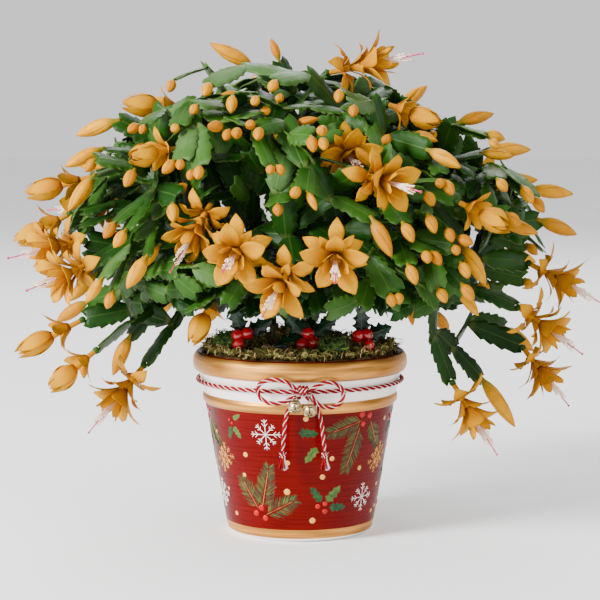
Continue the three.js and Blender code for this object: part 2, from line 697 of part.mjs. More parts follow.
function mossSolid() {
  const spot = (k, i, z) => {
    const angle = (2 * Math.PI * (i % MOSS_SPOKES)) / MOSS_SPOKES;
    return [MOSS_RADII[k] * Math.cos(angle), MOSS_RADII[k] * Math.sin(angle), z];
  };
  const top = (k, i) => spot(k, i, mossHeight(MOSS_RADII[k], 7000 + k * 100 + (i % MOSS_SPOKES)));
  const floor = SOIL_TOP + GAP;
  const peak = [0, 0, mossHeight(0, 7000)];
  const last = MOSS_RADII.length - 1;
  const faces = [];
  for (let i = 0; i < MOSS_SPOKES; i += 1) {
    faces.push([top(1, i), top(1, i + 1), peak]);
    for (let k = 1; k < last; k += 1) {
      faces.push([top(k, i), top(k + 1, i), top(k + 1, i + 1)], [top(k, i), top(k + 1, i + 1), top(k, i + 1)]);
    }
    faces.push([spot(last, i, floor), spot(last, i + 1, floor), top(last, i + 1)]);
    faces.push([spot(last, i, floor), top(last, i + 1), top(last, i)]);
    faces.push([spot(last, i + 1, floor), spot(last, i, floor), [0, 0, floor]]);
  }
  return closed(faces);
}

function tuftBase({ spot }) {
  return mossHeight(Math.hypot(...spot), 0) - 5;
}

function tuftSolid(tuft, index) {
  const [x, y] = tuft.spot;
  const low = tuftBase(tuft);
  const core = bar([
    [[x, y, SOIL_TOP + 2 * GAP], TUFT_PLUG_RADIUS], [[x, y, low + 4], TUFT_PLUG_RADIUS], [[x, y, low + 9], 0],
  ], 6);
  const needles = Array.from({ length: TUFT_NEEDLES }, (_, k) => {
    const angle = (2 * Math.PI * (k + 0.3 * draw(8000 + index * 50 + k))) / TUFT_NEEDLES;
    const rise = 0.7 + 0.35 * draw(8020 + index * 50 + k);
    const way = unit([Math.cos(angle), Math.sin(angle), rise]);
    return bar([[[x, y, low + 3], 1.6], [add([x, y, low + 3], way, tuft.size), 0]], 3);
  });
  return fuse([core, ...needles]);
}

// The dimple in the moss that a tuft stands in.
function tuftDimple(tuft) {
  const [x, y] = tuft.spot;
  const low = tuftBase(tuft);
  const plug = hole(tuft.spot, TUFT_PLUG_RADIUS + 2 * GAP, SOIL_TOP - 1, low + 6);
  return plug.add(bar([[[x, y, low], TUFT_PLUG_RADIUS + 1], [[x, y, low + 18], tuft.size + 12]], 8));
}

// A flat toothed blade, thickest along its middle: ridge points on each face and a sharp outline.
function toothedBlade({ start, end, width, thickness, normal, across }, halfOutline, ridge) {
  const spot = (t, w, n) => add(
    add(mix(start, end, t), across, (w * width) / 2),
    normal,
    (n * thickness) / 2,
  );
  const right = halfOutline.map(([t, w]) => spot(t, w, 0));
  const left = halfOutline.map(([t, w]) => spot(t, -w, 0));
  const last = halfOutline.length - 1;
  const blunt = halfOutline[last][0] === 1;
  const face = (side) => {
    const [low, high] = ridge.map((t) => spot(t, 0, side));
    const shell = [[start, right[0], low], [left[0], start, low]];
    shell.push([right[0], high, low], [high, left[0], low]);
    if (blunt) shell.push([right[last], left[last], high]);
    else shell.push([right[last], end, high], [end, left[last], high]);
    for (let k = 0; k < last; k += 1) {
      shell.push([right[k], right[k + 1], high], [left[k + 1], left[k], high]);
    }
    return side > 0 ? shell : shell.map((corners) => [...corners].reverse());
  };
  return closed([...face(1), ...face(-1)]);
}

function pickWire([x, y, z]) {
  return bar([[[x, y, PICK_WIRE_Z], PICK_WIRE_RADIUS], [[x, y, z], PICK_WIRE_RADIUS]], 4);
}

function berriesSolid({ berries }) {
  const middle = times(berries.reduce((sum, berry) => add(sum, berry)), 1 / berries.length);
  return fuse([pickWire(middle), ...berries.map((berry) => ball(berry, BERRY_RADIUS))]);
}

function hollySolid({ leaves }) {
  const top = leaves[0][0];
  const blades = leaves.map(([start, end], k) => {
    const axis = unit(sub(end, start));
    const normal = squareTo(axis, [0.3 * (k - 1), -1, 0.5]);
    const root = add(start, axis, -3);
    const across = cross(axis, normal);
    const blade = { start: root, end, width: HOLLY_WIDTH, thickness: HOLLY_THICKNESS, normal, across };
    return toothedBlade(blade, HOLLY_HALF_OUTLINE, [0.2, 0.55]);
  });
  const stalks = leaves.map(([start]) => bar([[add(top, [0, 0, -6]), 1.1], [start, 1.1]], 3));
  return fuse([pickWire(top), ...stalks, ...blades]);
}

// ---- cord, bow and bells ------------------------------------------------------------------------

function tube(points, steps) {
  const path = new THREE.CatmullRomCurve3(points.map((point) => new THREE.Vector3(...point)));
  const section = new THREE.Shape(Array.from({ length: CORD_SIDES }, (_, i) => {
    const angle = (2 * Math.PI * i) / CORD_SIDES;
    return new THREE.Vector2(CORD_RADIUS * Math.cos(angle), CORD_RADIUS * Math.sin(angle));
  }));
  return fromGeometry(new THREE.ExtrudeGeometry(section, { extrudePath: path, steps, bevelEnabled: false }));
}

function cordBandSolid() {
  const section = Array.from({ length: CORD_BAND_SIDES + 1 }, (_, i) => {
    const angle = (2 * Math.PI * (i % CORD_BAND_SIDES)) / CORD_BAND_SIDES;
    return [CORD_BAND_RADIUS + CORD_RADIUS * Math.cos(angle), CORD_BAND_Z + CORD_RADIUS * Math.sin(angle)];
  });
  return turned(section, CORD_BAND_STEPS);
}

function knotSolid() {
  return fromGeometry(new THREE.SphereGeometry(1, 8, 6).rotateX(Math.PI / 2).scale(...KNOT.half))
    .translate(KNOT.middle);
}

function tasselSolid(tail) {
  const [x, y, z] = tail.at(-1);
  const knot = [x, y, z - TAIL_KNOT_RADIUS - GAP];
  const skirt = TASSEL.map(([radius, drop]) => [add(knot, [0, 0, drop - 1]), radius]);
  return fuse([ball(knot, TAIL_KNOT_RADIUS), bar(skirt, 6)]);
}

function bellSolid({ middle: [x, y, z], lug: rise }) {
  const shell = (radius) => ball([x, y, z], radius, BELL_SIDES, 5);
  const slot = (wide, deep) => fromGeometry(new THREE.BoxGeometry(wide, deep, BELL_RADIUS)
    .translate(x, y, z - BELL_RADIUS * 0.72));
  const long = BELL_RADIUS * 1.5;
  const lug = bar([[[x, y, z + BELL_RADIUS - 0.6], 1.4], [[x, y, z + BELL_RADIUS + rise], 1.1]], 6);
  return shell(BELL_RADIUS).subtract(shell(BELL_RADIUS - BELL_WALL))
    .subtract(slot(long, BELL_SLOT)).subtract(slot(BELL_SLOT, long))
    .add(lug);
}

function pelletSolid({ middle: [x, y, z] }) {
  return ball([x, y, z - BELL_RADIUS + BELL_WALL + PELLET_RADIUS + 2 * GAP], PELLET_RADIUS);
}

// ---- the object ---------------------------------------------------------------------------------

const matt = (color) => new THREE.MeshStandardMaterial({ color, roughness: 0.8, metalness: 0 });
const shiny = (color, metalness = 0) => new THREE.MeshStandardMaterial({ color, roughness: 0.25, metalness });
const padGreen = matt(0x2f6b1c);
const petalYellow = matt(0xf5a800);
const redGlaze = shiny(0x8f1616);
const soilBrown = matt(0x2b1d14);
const mossBrown = matt(0x5b4a24);
const mossGreen = matt(0x5f7f2a);
const hollyGreen = shiny(0x143d1e);
const berryRed = shiny(0xb80f14);
const cordRed = matt(0xa8242a);
const agedBrass = shiny(0x8d7f66, 1);

const object = new THREE.Group();
function addPiece(name, solid, material) {
  const mesh = new THREE.Mesh(toGeometry(solid), material);
  mesh.name = name;
  object.add(mesh);
}

const plant = growPlant();
const stemHoles = plant.feet.map(({ foot }) => hole(foot, STEM_HOLE_RADIUS, STEM_FOOT_Z - GAP, 230));
const wireHoles = PICKS.flatMap(({ berries, leaves }) => {
  const middle = times(berries.reduce((sum, berry) => add(sum, berry)), 1 / berries.length);
  return [middle, leaves[0][0]].map((spot) => hole(spot, PICK_WIRE_RADIUS + GAP, PICK_WIRE_Z - GAP, 230, 4));
});
const allHoles = fuse([...stemHoles, ...wireHoles]);

addPiece('pot', turned([[0, 0], ...POT_OUTSIDE, ...POT_INSIDE], POT_SIDES), redGlaze);
addPiece('soil', turned(SOIL_PROFILE, POT_SIDES).subtract(allHoles), soilBrown);
addPiece('moss_mat', mossSolid().subtract(fuse([allHoles, ...TUFTS.map(tuftDimple)])), mossBrown);
TUFTS.forEach((tuft, k) => addPiece(`moss_tuft_${tuft.name}`, tuftSolid(tuft, k), mossGreen));
for (const { stem } of plant.feet) addPiece(stem, stemSolid(stem, plant), padGreen);
for (const flower of plant.flowers.filter(({ kind }) => kind !== 'bud')) {
  addPiece(flower.owner, bloomSolid(flower), petalYellow);
}
for (const pick of PICKS) {
  addPiece(`holly_leaves_${pick.name}`, hollySolid(pick), hollyGreen);
  addPiece(`holly_berries_${pick.name}`, berriesSolid(pick), berryRed);
}
addPiece('cord_band', cordBandSolid(), cordRed);
addPiece('bow_knot', knotSolid(), cordRed);
addPiece('bow_loop_left', tube(LEFT_LOOP, LOOP_STEPS), cordRed);
addPiece('bow_loop_right', tube(RIGHT_LOOP, LOOP_STEPS), cordRed);
addPiece('bow_tail_left', tube(LEFT_TAIL, TAIL_STEPS), cordRed);
addPiece('bow_tail_right', tube(RIGHT_TAIL, TAIL_STEPS), cordRed);
addPiece('tassel_left', tasselSolid(LEFT_TAIL), cordRed);
addPiece('tassel_right', tasselSolid(RIGHT_TAIL), cordRed);
for (const bell of BELLS) {
  addPiece(`bell_${bell.name}`, bellSolid(bell), agedBrass);
  addPiece(`bell_pellet_${bell.name}`, pelletSolid(bell), agedBrass);
}

export default object;
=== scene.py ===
"""A Christmas cactus in a glazed pot, dressed with moss, holly picks, a cord bow and two bells."""

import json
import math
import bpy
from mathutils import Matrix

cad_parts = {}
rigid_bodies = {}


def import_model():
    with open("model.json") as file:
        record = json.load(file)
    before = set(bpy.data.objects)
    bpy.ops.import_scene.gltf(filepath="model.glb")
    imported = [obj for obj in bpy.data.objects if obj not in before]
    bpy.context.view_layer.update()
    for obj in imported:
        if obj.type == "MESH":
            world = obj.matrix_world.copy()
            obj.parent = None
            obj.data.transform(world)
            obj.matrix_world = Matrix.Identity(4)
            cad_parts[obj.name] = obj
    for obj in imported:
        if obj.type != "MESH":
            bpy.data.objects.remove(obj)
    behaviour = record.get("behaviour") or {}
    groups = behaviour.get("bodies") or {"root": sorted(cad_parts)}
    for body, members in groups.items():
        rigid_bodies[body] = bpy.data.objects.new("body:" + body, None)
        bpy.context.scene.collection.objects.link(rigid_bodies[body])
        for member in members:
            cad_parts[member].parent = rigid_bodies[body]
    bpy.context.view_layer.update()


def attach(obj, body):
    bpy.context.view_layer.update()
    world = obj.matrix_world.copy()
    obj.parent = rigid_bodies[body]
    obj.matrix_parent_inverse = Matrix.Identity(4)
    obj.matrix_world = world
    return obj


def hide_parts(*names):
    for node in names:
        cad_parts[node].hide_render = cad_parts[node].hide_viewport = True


bl_info = {
    "name": "Potted Christmas Cactus",
    "version": (1, 0, 0),
    "blender": (4, 5, 0),
    "location": "View3D > Sidebar > Cactus",
    "description": "Dresses a plain model of a potted Christmas cactus",
    "category": "Add Mesh",
}

import bmesh
import bpy
import numpy as np
from mathutils import Vector

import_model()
MM = 0.001

# ---- sizes, in millimetres ----

SEED = 5
GAP = 0.35  # between pieces that rest on each other
PAD_LENGTH = 42
PAD_WIDTH = 23
PAD_THICKNESS = 2.2
PAD_SINK = 3.4  # how deep a pad's root lies in the pad before it
SLOT_OFFSET = 0.24  # how far to the side a pad may grow on, as a share of the width
LIMB_PAD_WIDTH = 15
LIMB_PAD_THICKNESS = 3.2
EYE_DISTANCE = 2100  # from the viewer to the pot's axis
EYE_HEIGHT = 430
BACK_BLOOM_LENGTH = 50
BACK_BUD_LENGTH = 38
PETALS = 5  # in each whorl
BUD_FATNESS = 0.17  # radius as a share of length
BUD_RADIUS_LIMIT = 6.8
CLEARANCE = 0.9
LEAST_LEAD = 0.4  # how well one pad must point the flower's way to reach it alone
DIRECT_REACH = 1.35  # how far one pad may reach, in pad lengths
LEAST_SPAN = 0.7  # the least room for a bend, in pad lengths
WAY_STEPS = 16
STEM_FOOT_Z = 126
DOME_CENTRE = (0, 0, 230)
DOME_HALF = (262, 223, 235)
PAD_SHRINKS = (1, 0.74, 0.5, 0.36)
PAD_ROLLS = (0, 24, -24, 48, -48, 72, -72, 90)
JOINT_SHIFTS = [(0, 0), (6, 0), (-6, 0), (0, 8), (0, -8), (10, 8), (10, -8), (-11, 6), (-11, -6)]
# Each stem: heading in degrees from +X, then its limb as radius from the pot's axis and height.
STEMS = [
    (-148, ((27, 196), (66, 246), (106, 286))), (-112, ((25, 200), (56, 250), (96, 282))),
    (-68, ((25, 198), (60, 246), (100, 278))), (-28, ((27, 196), (68, 248), (112, 284))),
    (18, ((26, 200), (64, 258), (104, 304))), (66, ((26, 198), (60, 248), (100, 286))),
    (118, ((25, 196), (62, 246), (104, 282))), (166, ((26, 200), (64, 256), (106, 300))),
]
# Petals of each kind of bloom, back whorl first: root along the tube, belly and tip as (along, out), width.
WHORLS = {
    "open": [(0.3, (0.4, 15), (0.24, 27), 9.5), (0.62, (0.9, 15.5), (1.02, 29), 12)],
    "half": [(0.3, (0.48, 10.5), (0.6, 21), 8), (0.62, (0.86, 9), (1.12, 5), 9.5)],
}
# Flowers of the front, base then mouth, each (across, up, depth).
OPEN_BLOOMS = [
    ((22, 426, -60), (76, 437, -75)), ((-197, 272, -70), (-241, 262, -92)),
    ((-190, 252, -112), (-228, 236, -135)), ((-144, 157, -60), (-176, 118, -76)),
    ((-80, 310, -140), (-104, 270, -166)), ((-51, 272, -166), (-63, 255, -208)),
    ((-6, 252, -184), (-23, 222, -220)), ((33, 272, -176), (33, 249, -218)),
    ((54, 334, -164), (88, 324, -200)), ((34, 360, -100), (48, 346, -136)),
    ((210, 252, -22), (252, 229, -30)), ((201, 211, -62), (238, 184, -78)),
    ((206, 174, 2), (233, 140, -4)), ((141, 141, -50), (167, 99, -60)),
]
HALF_OPEN_BLOOMS = [
    ((-101, 395, -30), (-150, 398, -42)), ((-111, 358, -118), (-147, 351, -142)),
    ((-188, 332, -28), (-240, 319, -26)), ((-211, 298, -18), (-252, 276, -16)),
    ((-200, 199, -40), (-250, 173, -46)), ((-188, 171, -92), (-224, 141, -108)),
    ((77, 399, -84), (118, 385, -98)), ((144, 309, -140), (183, 289, -166)),
    ((-76, 228, -112), (-95, 187, -124)),
]
LARGE_BUDS = [
    ((-43, 432, -50), (-82, 456, -56)), ((-19, 437, -55), (-26, 459, -50)),
    ((-168, 383, -40), (-208, 371, -30)), ((-182, 357, -70), (-219, 342, -76)),
    ((-190, 332, -86), (-217, 300, -96)), ((-189, 241, -60), (-217, 216, -66)),
    ((-183, 237, -158), (-201, 214, -168)), ((-158, 183, -20), (-177, 146, -14)),
    ((146, 381, -20), (179, 391, -10)), ((186, 289, -100), (222, 280, -110)),
    ((221, 291, -20), (258, 279, -10)), ((212, 319, -10), (254, 317, 0)),
    ((174, 356, -14), (214, 358, -4)), ((167, 353, -56), (198, 351, -64)),
    ((169, 143, -15), (204, 98, -5)), ((66, 293, -186), (87, 257, -198)),
    ((150, 268, -148), (175, 231, -160)), ((118, 356, -128), (150, 341, -144)),
]
SMALL_BUDS = [
    ((-54, 407, -60), (-73, 408, -66)), ((-6, 379, -128), (17, 386, -134)),
    ((104, 372, -90), (128, 365, -100)), ((6, 318, -196), (16, 300, -206)),
    ((147, 226, -106), (168, 202, -114)), ((101, 213, -134), (106, 192, -140)),
    ((-130, 268, -150), (-152, 245, -160)), ((-165, 293, -116), (-178, 283, -128)),
]
# Flowers of the back: heading and slope in degrees.
BACK_OPEN_BLOOMS = [(38, 28), (98, 6), (152, 22), (78, 52)]
BACK_HALF_OPEN_BLOOMS = [(66, 4), (124, 34)]
BACK_BUDS = [
    (8, 30), (24, 8), (34, 58), (50, -12), (56, 32), (84, 26), (92, -14), (112, 18), (110, 62),
    (128, -8), (146, 46), (166, 34), (168, -6), (14, -14),
]
# Smaller buds among the front pads: (across, up, length).
EXTRA_BUDS = [
    (-116, 421, 11), (-21, 420, 12), (-83, 417, 20), (-90, 409, 16), (-94, 398, 9), (-62, 407, 20),
    (-38, 405, 9), (-29, 406, 8), (-143, 380, 8), (-112, 379, 8), (-65, 375, 10), (-37, 376, 18),
    (-77, 370, 20), (-17, 374, 9), (-109, 347, 9), (-92, 341, 12), (-76, 349, 13), (-44, 353, 10),
    (-153, 338, 16), (-123, 328, 17), (-171, 321, 24), (-156, 312, 17), (-7, 342, 8), (-21, 306, 10),
    (-171, 289, 15), (-161, 282, 15), (-119, 281, 24), (-112, 265, 18), (-142, 257, 34),
    (-186, 260, 24), (-175, 255, 14), (-174, 225, 18), (-193, 227, 26), (28, 391, 10), (50, 397, 11),
    (64, 372, 9), (10, 369, 14), (20, 367, 12), (4, 359, 12), (8, 339, 13), (28, 325, 16),
    (15, 308, 24), (133, 366, 8), (175, 367, 10), (133, 328, 14), (117, 317, 13), (95, 289, 16),
    (118, 297, 20), (136, 284, 12), (122, 262, 13), (131, 263, 12), (143, 268, 9), (170, 266, 14),
    (100, 250, 16), (84, 223, 10), (91, 224, 9), (128, 228, 12), (191, 298, 14), (204, 342, 20),
    (205, 323, 16), (215, 313, 14), (204, 310, 16), (62, 439, 8), (-139, 295, 14), (-96, 305, 9),
    (42, 277, 12), (61, 309, 9), (-55, 337, 9), (-27, 342, 8), (84, 356, 10), (102, 337, 9),
    (-129, 356, 9), (158, 295, 14), (149, 252, 14), (128, 212, 36), (146, 238, 36), (124, 240, 14),
    (-205, 330, 14), (-188, 348, 12), (-150, 360, 11), (96, 383, 16), (38, 412, 12), (112, 350, 12),
    (160, 338, 12), (182, 330, 12), (-48, 320, 9), (-134, 312, 12), (72, 345, 10), (150, 232, 20),
]

# Outline of a pad: (place along it, half width), with three teeth on each side and two horns.
PAD_OUTLINE = [
    (0, 0.15), (0.08, 0.38), (0.2, 0.68), (0.31, 0.93), (0.35, 0.76), (0.5, 1), (0.54, 0.82),
    (0.72, 1.07), (0.76, 0.86), (0.94, 0.9), (1, 0.6),
]
PAD_BODY = [(0, 0.8), (0.1, 1), (0.85, 0.9), (1, 0.4)]  # its thickness along it
PETAL_OUTLINE = [
    (0, 0.36), (0.12, 0.56), (0.28, 0.86), (0.45, 1.12), (0.6, 1.16), (0.74, 0.98), (0.86, 0.62),
    (0.95, 0.26), (1, 0.03),
]
# A bud of length 1 as (radius, height), from its base.
BUD_PROFILE = [
    (0, -0.1), (0.3, -0.08), (0.34, 0), (0.42, 0.06), (0.66, 0.14), (0.92, 0.28), (1, 0.44), (0.94, 0.6),
    (0.7, 0.77), (0.36, 0.91), (0.1, 0.985), (0, 1),
]
# Finer petals between the two whorls and in the throat.
MID_WHORL = (0.46, (0.7, 14), (0.72, 25), 7.5)
THROAT_WHORL = (0.64, (1, 8.5), (1.22, 12), 8.5)
CLOSING_WHORL = ((0.92, 7), (1.28, 2.5), 7)  # belly, tip and width in the throat of a half-open bloom

# Pot: (radius, height) up the outside, then down the inside, and the heights where its glazes change.
POT_OUTSIDE = [
    (62, 0), (65.5, 2.4), (67.5, 3.6), (69.5, 12), (88, 121.5), (91, 124.5), (91, 129), (89.5, 131.5),
    (94.5, 151), (98.6, 153), (100, 157), (100, 161), (99.5, 164.5), (98.2, 167.2), (96.6, 169.2),
    (94.5, 170),
]
POT_INSIDE = [(92.4, 169), (91.2, 167), (89.6, 158), (62, 14)]
POT_FLOOR_TOP = 14
POT_SIDES = 144
BODY_LOW, BODY_HIGH = (69.5, 12), (88, 121.5)  # the red body's side, which the motifs are painted on
FOOT_LINE_TOP, BASE_BAND_TOP, BEAD_LOW, BEAD_HIGH, RECESS_HIGH = 3.6, 12, 121.6, 131.4, 151.4
RIM_CREST, UNDERSIDE_TOP = 168.8, 5

SOIL_TOP = 151
MOSS_RADIUS, MOSS_ROUGH = 87.2, 5
MOSS_RIM, MOSS_TOP = 17, 44  # the moss's height over the soil near the rim and in the middle
MOSS_LIP = 6  # how much it rises again where it leans on the rim
MAT_ROWS, MAT_SIDES, CURL_REACH, CURL_STEPS = 26, 96, 88.5, 6
TUFTS = [("left", (-66, -36), 13), ("right", (30, -70), 12)]
TUFT_CURLS = 360
TWIGS, TWIG_REACH, TWIG_STEPS = 7, 92, 20
WISPS = 26  # thin strands that stand over the rim at both sides
WISP_FOOT = (80, 166)  # the radius and height where they start
BERRY_RADIUS, HOLLY_WIDTH, WIRE_RADIUS = 6, 19, 0.6
# Outline of a holly leaf, as the pad's.
HOLLY_OUTLINE = [
    (0.0, 0.1), (0.1, 0.4), (0.24, 0.62), (0.34, 1.0), (0.4, 0.66), (0.47, 0.56), (0.6, 0.92), (0.65, 0.6),
    (0.74, 0.42), (0.83, 0.55), (0.88, 0.3), (1.0, 0.02),
]
# Each pick: its berries, then the root and tip of its leaves.
PICKS = [
    ("left", [(-57, -45, 188), (-48, -44, 190), (-56, -48, 180.5)],
     [((-53, -36, 188), (-62, -34, 216)), ((-50, -35, 188), (-25, -33, 201))]),
    ("middle", [(7.3, -50, 190.5), (2, -52, 180.5), (13, -51, 182)],
     [((5, -41, 187), (-14, -38, 210)), ((9, -41, 187), (34, -38, 203)), ((3, -43, 185), (-24, -48, 178))]),
    ("right", [(53, -45, 187.5), (61, -44, 188.5), (62, -49, 179)],
     [((57, -36, 187), (56, -33, 214)), ((61, -36, 187), (84, -30, 194))]),
]

CORD_RADIUS = 2.15
CORD_LAY = 16.5  # how far along the cord one strand takes to go once round
BAND_RADIUS, BAND_Z = 95.3, 143
KNOT_MIDDLE = (3, -101.6, 145)
LEFT_LOOP = [
    (-3.6, -101.8, 146.4), (-13, -103.6, 153.5), (-27, -103, 155), (-37, -98.6, 149), (-36.4, -98, 139.5),
    (-27, -100.4, 133.8), (-14, -102.8, 135), (-4, -103, 141.4),
]
RIGHT_LOOP = [
    (9.6, -101.6, 146), (19, -103, 151.4), (30, -101.2, 152), (38.2, -97.2, 144.6), (37, -97, 134.6),
    (28.4, -99.2, 129.8), (17.4, -102.4, 132.4), (9.7, -103.2, 141.1),
]
LEFT_TAIL = [
    (0.2, -101.3, 139), (-7.6, -97.2, 133.6), (-12.8, -95.6, 118), (-14.4, -95, 102), (-15.4, -94.8, 90),
]
RIGHT_TAIL = [
    (5.4, -101.1, 138.9), (13.4, -97.2, 133.6), (18.8, -95.6, 118), (20.8, -95, 102), (22.4, -94.8, 90),
]
TAIL_KNOT_RADIUS = 3.6
# Red and white strands: radius, and distance from the cord's middle, as shares of its radius.
STRANDS = ((0.62, 0.38), (0.21, 0.61))
YARNS = ["yarn_red", "yarn_white"]
BAND_STEPS, BAND_TWISTS = 400, 36
KNOT_STEPS, KNOT_TURNS, KNOT_SPAN, KNOT_LAY = 60, 2.6, 7.8, 10
KNOT_DEPTH, KNOT_RISE = 2.8, 3.3  # half its size from front to back and from top to bottom
END_KNOT_STEPS, END_KNOT_TURNS, END_KNOT_RADIUS, END_KNOT_CORD, END_KNOT_LAY = 36, 1.8, 1.9, 1.7, 8
TASSEL_YARNS, YARN_RADIUS, TASSEL_DROP, TASSEL_FLARE = 30, 0.62, 12.4, 4.3
MERGE_CORD, MERGE_BELL = 0.004, 0.002  # points closer than this become one
BELL_RADIUS, BELL_WALL, BELL_SLOT, PELLET_RADIUS = 6.3, 0.8, 1.4, 1.9
BELL_SIDES, BELL_SLOT_TOP = 48, -0.34 * BELL_RADIUS
LUG_RADIUS, LUG_WIRE, LUG_RISE = 1.5, 0.55, 0.9
BELL_TURN = ((0, 0.77, 0.64), (1, 0, 0))  # the slots face the front, and down
# Each bell: its middle, and how high the cord passes over it.
BELLS = [("left", (-4.4, -106.3, 131.2), 1.4), ("right", (8.6, -106, 127.8), 4.9)]

# Painted motifs: heading in degrees from the front, and height on the pot, then the radius if round.
MOTIF_TURNS = (0, 122, 238)  # the front's set is painted three times round the pot
WHITE_FLAKES = [(-21.6, 101.8, 15.4), (49.8, 39.3, 14.6)]
GOLD_FLAKES = [(-57.6, 77, 13.5), (59.5, 72, 12.5)]
DOTS = [
    (3.5, 117.4, 2.7), (-37.7, 81.1, 2.7), (-40.6, 61.4, 2.2), (-8.1, 76, 2.5), (21.1, 79.3, 2.5),
    (43.4, 67.7, 2.5), (15.2, 62.4, 2.7), (-8.9, 48.6, 3.2), (9.2, 21.3, 3), (-54.8, 22.6, 2.4),
    (-61.1, 45.1, 2), (69.4, 48, 2.2), (64.6, 110.8, 2.3), (-66, 98, 2.2), (74, 26, 2.4), (-74, 62, 2.2),
]
# Each leaf or sprig: heading and height of its base, the way it points in degrees, and its length.
LEAVES = [
    (-1.2, 104.5, -4, 19), (11, 91, -125, 19), (15.5, 38.5, 127, 19), (18.5, 38, 48, 21), (21, 33, -2, 18),
    (-45, 113, 30, 11), (-47.5, 106.5, -108, 14), (-45.5, 106.5, -52, 14),
]
SPRIGS = [
    (41.5, 113, 196, 37), (40, 108, 254, 45), (48, 112, 300, 30),
    (-28.5, 30, 76, 45), (-31, 30, 120, 34), (-26.5, 25, 28, 35),
]
PAINTED_BERRIES = [
    (40.2, 118.6, 3.4), (46.6, 116.9, 3.4), (41.8, 109.6, 3), (-33.6, 26.3, 3.2), (-28.8, 32, 3.2),
    (-26.2, 22.4, 3), (12.8, 34.6, 2.7), (18, 36.8, 2.6), (18.2, 29.4, 2.8), (-48.2, 112, 1.7),
    (-46.2, 109.4, 1.6),
]

# Finer pads, buds and blooms.
RIB_RISE, PAD_BOW, PAD_RIPPLE, STALK_RADIUS = 0.35, 1.7, 0.6, 3.2
CHAINS_BACK = 34
SEAT_TRIES = 16  # pad ends tried for a small bud that no chain can reach
FIRST_SMALL_BUD = 100  # the small buds are numbered from here
FILLER_SHARE = (0.88, 0.9, 0.84)  # how much of the dome the filler pads may take up
# Ways that a filler pad may take: how far to the side, how far outward, and its share of a pad's length.
FILLER_WAYS = [(0.6, 0.35, 0.74), (0.2, -0.1, 0.7), (1.1, 0.0, 0.68), (0.5, -0.6, 0.6), (0.9, 0.7, 0.56)]
FILLER_DROOP = 0.22
SKIRT_MIDDLE, SKIRT_LOW, SKIRT_SIDE = 110, 202, 212  # filler pads stay above, so that the holly shows
FRINGE_START, FRINGE_HEIGHT, FRINGE_DEPTH = 150, 300, 60  # at the sides the blooms hang free of them
PETAL_FULLNESS = 1.25  # how much wider than in the plain model the petals are
STAMENS, STIGMA_LOBES, TUBE_STEPS = 26, 6, 8

# The stage, in metres and watts: the camera, then each lamp's name, place, power and width.
CAMERA_AT, CAMERA_AIM, CAMERA_LENS = (0, -2.1, 0.43), (0, 0, 0.216), 135.84
FLOOR_HALF, SKY = 9, 0.95
LAMP_AIM = (0, 0, 0.22)
LAMPS = [
    ("key", (-2.3, -1.7, 1.6), 290, 1.0), ("fill", (2.2, -1.6, 1.5), 36, 1.8),
    ("back", (0.4, 2.4, 2.2), 56, 1.8),
]


# ---- vectors and seeded draws (millimetres) ----

def add(a, b, k=1.0):
    return (a[0] + b[0] * k, a[1] + b[1] * k, a[2] + b[2] * k)


def sub(a, b):
    return (a[0] - b[0], a[1] - b[1], a[2] - b[2])


def times(a, k):
    return (a[0] * k, a[1] * k, a[2] * k)


def dot(a, b):
    return a[0] * b[0] + a[1] * b[1] + a[2] * b[2]


def cross(a, b):
    return (a[1] * b[2] - a[2] * b[1], a[2] * b[0] - a[0] * b[2], a[0] * b[1] - a[1] * b[0])


def size(a):
    return math.sqrt(dot(a, a))


def unit(a):
    return times(a, 1 / size(a))


def mix(a, b, t):
    return add(times(a, 1 - t), b, t)


def turn(v, axis, angle):
    turned = add(times(v, math.cos(angle)), cross(axis, v), math.sin(angle))
    return add(turned, axis, dot(axis, v) * (1 - math.cos(angle)))


def draw(index):
    """A repeatable draw between -1 and 1 for each whole number."""
    scrambled = math.sin((index + SEED) * 12.9898) * 43758.5453
    return (scrambled - math.floor(scrambled)) * 2 - 1


def running_lengths(path):
    """How far along a path each of its points lies."""
    lengths = [0.0]
    for a, b in zip(path, path[1:]):
        lengths.append(lengths[-1] + size(sub(b, a)))
    return lengths


def straight_path(start, end, steps):
    return [mix(start, end, i / steps) for i in range(steps + 1)]


def polar(radius, angle):
    return radius * math.cos(angle), radius * math.sin(angle)


def way_out(heading, rise):
    return (math.cos(heading) * math.cos(rise), math.sin(heading) * math.cos(rise), math.sin(rise))


def square_to(axis, hint):
    flat = add(hint, axis, -dot(hint, axis))
    return unit(flat) if size(flat) > 0.05 * size(hint) else square_to(axis, (0.3, 0.5, 1))


# ---- growth: the same rule as the plain model's, so each pad lies where its solid lies ----

def place(spot):
    """Where a point seen at (across, up) on the upright plane through the axis lies at a given depth."""
    across, up, depth = spot
    k = (EYE_DISTANCE + depth) / EYE_DISTANCE
    return (across * k, depth, EYE_HEIGHT + (up - EYE_HEIGHT) * k)


def place_on_back(spot, length, reach=1.0):
    """A flower on the back of the dome, which leans out and a little down."""
    way = way_out(math.radians(spot[0]), math.radians(spot[1]))
    shrink = (0.86 if spot[1] < 0 else 0.9) * reach
    base = tuple(DOME_CENTRE[i] + way[i] * (DOME_HALF[i] * shrink - length * 0.5) for i in range(3))
    return base, add(base, unit(add(way, (0, 0, -0.45))), length)


def make_flower(kind, index, base, mouth):
    axis = unit(sub(mouth, base))
    owner = f"{'bud' if kind == 'bud' else 'bloom'}_{index + 1}"
    return {"kind": kind, "index": index, "owner": owner, "base": base, "axis": axis,
            "length": size(sub(mouth, base)), "side": square_to(axis, (0, 0, 1))}


def lie_of(flower):
    return (flower[key] for key in ("base", "axis", "length", "side"))


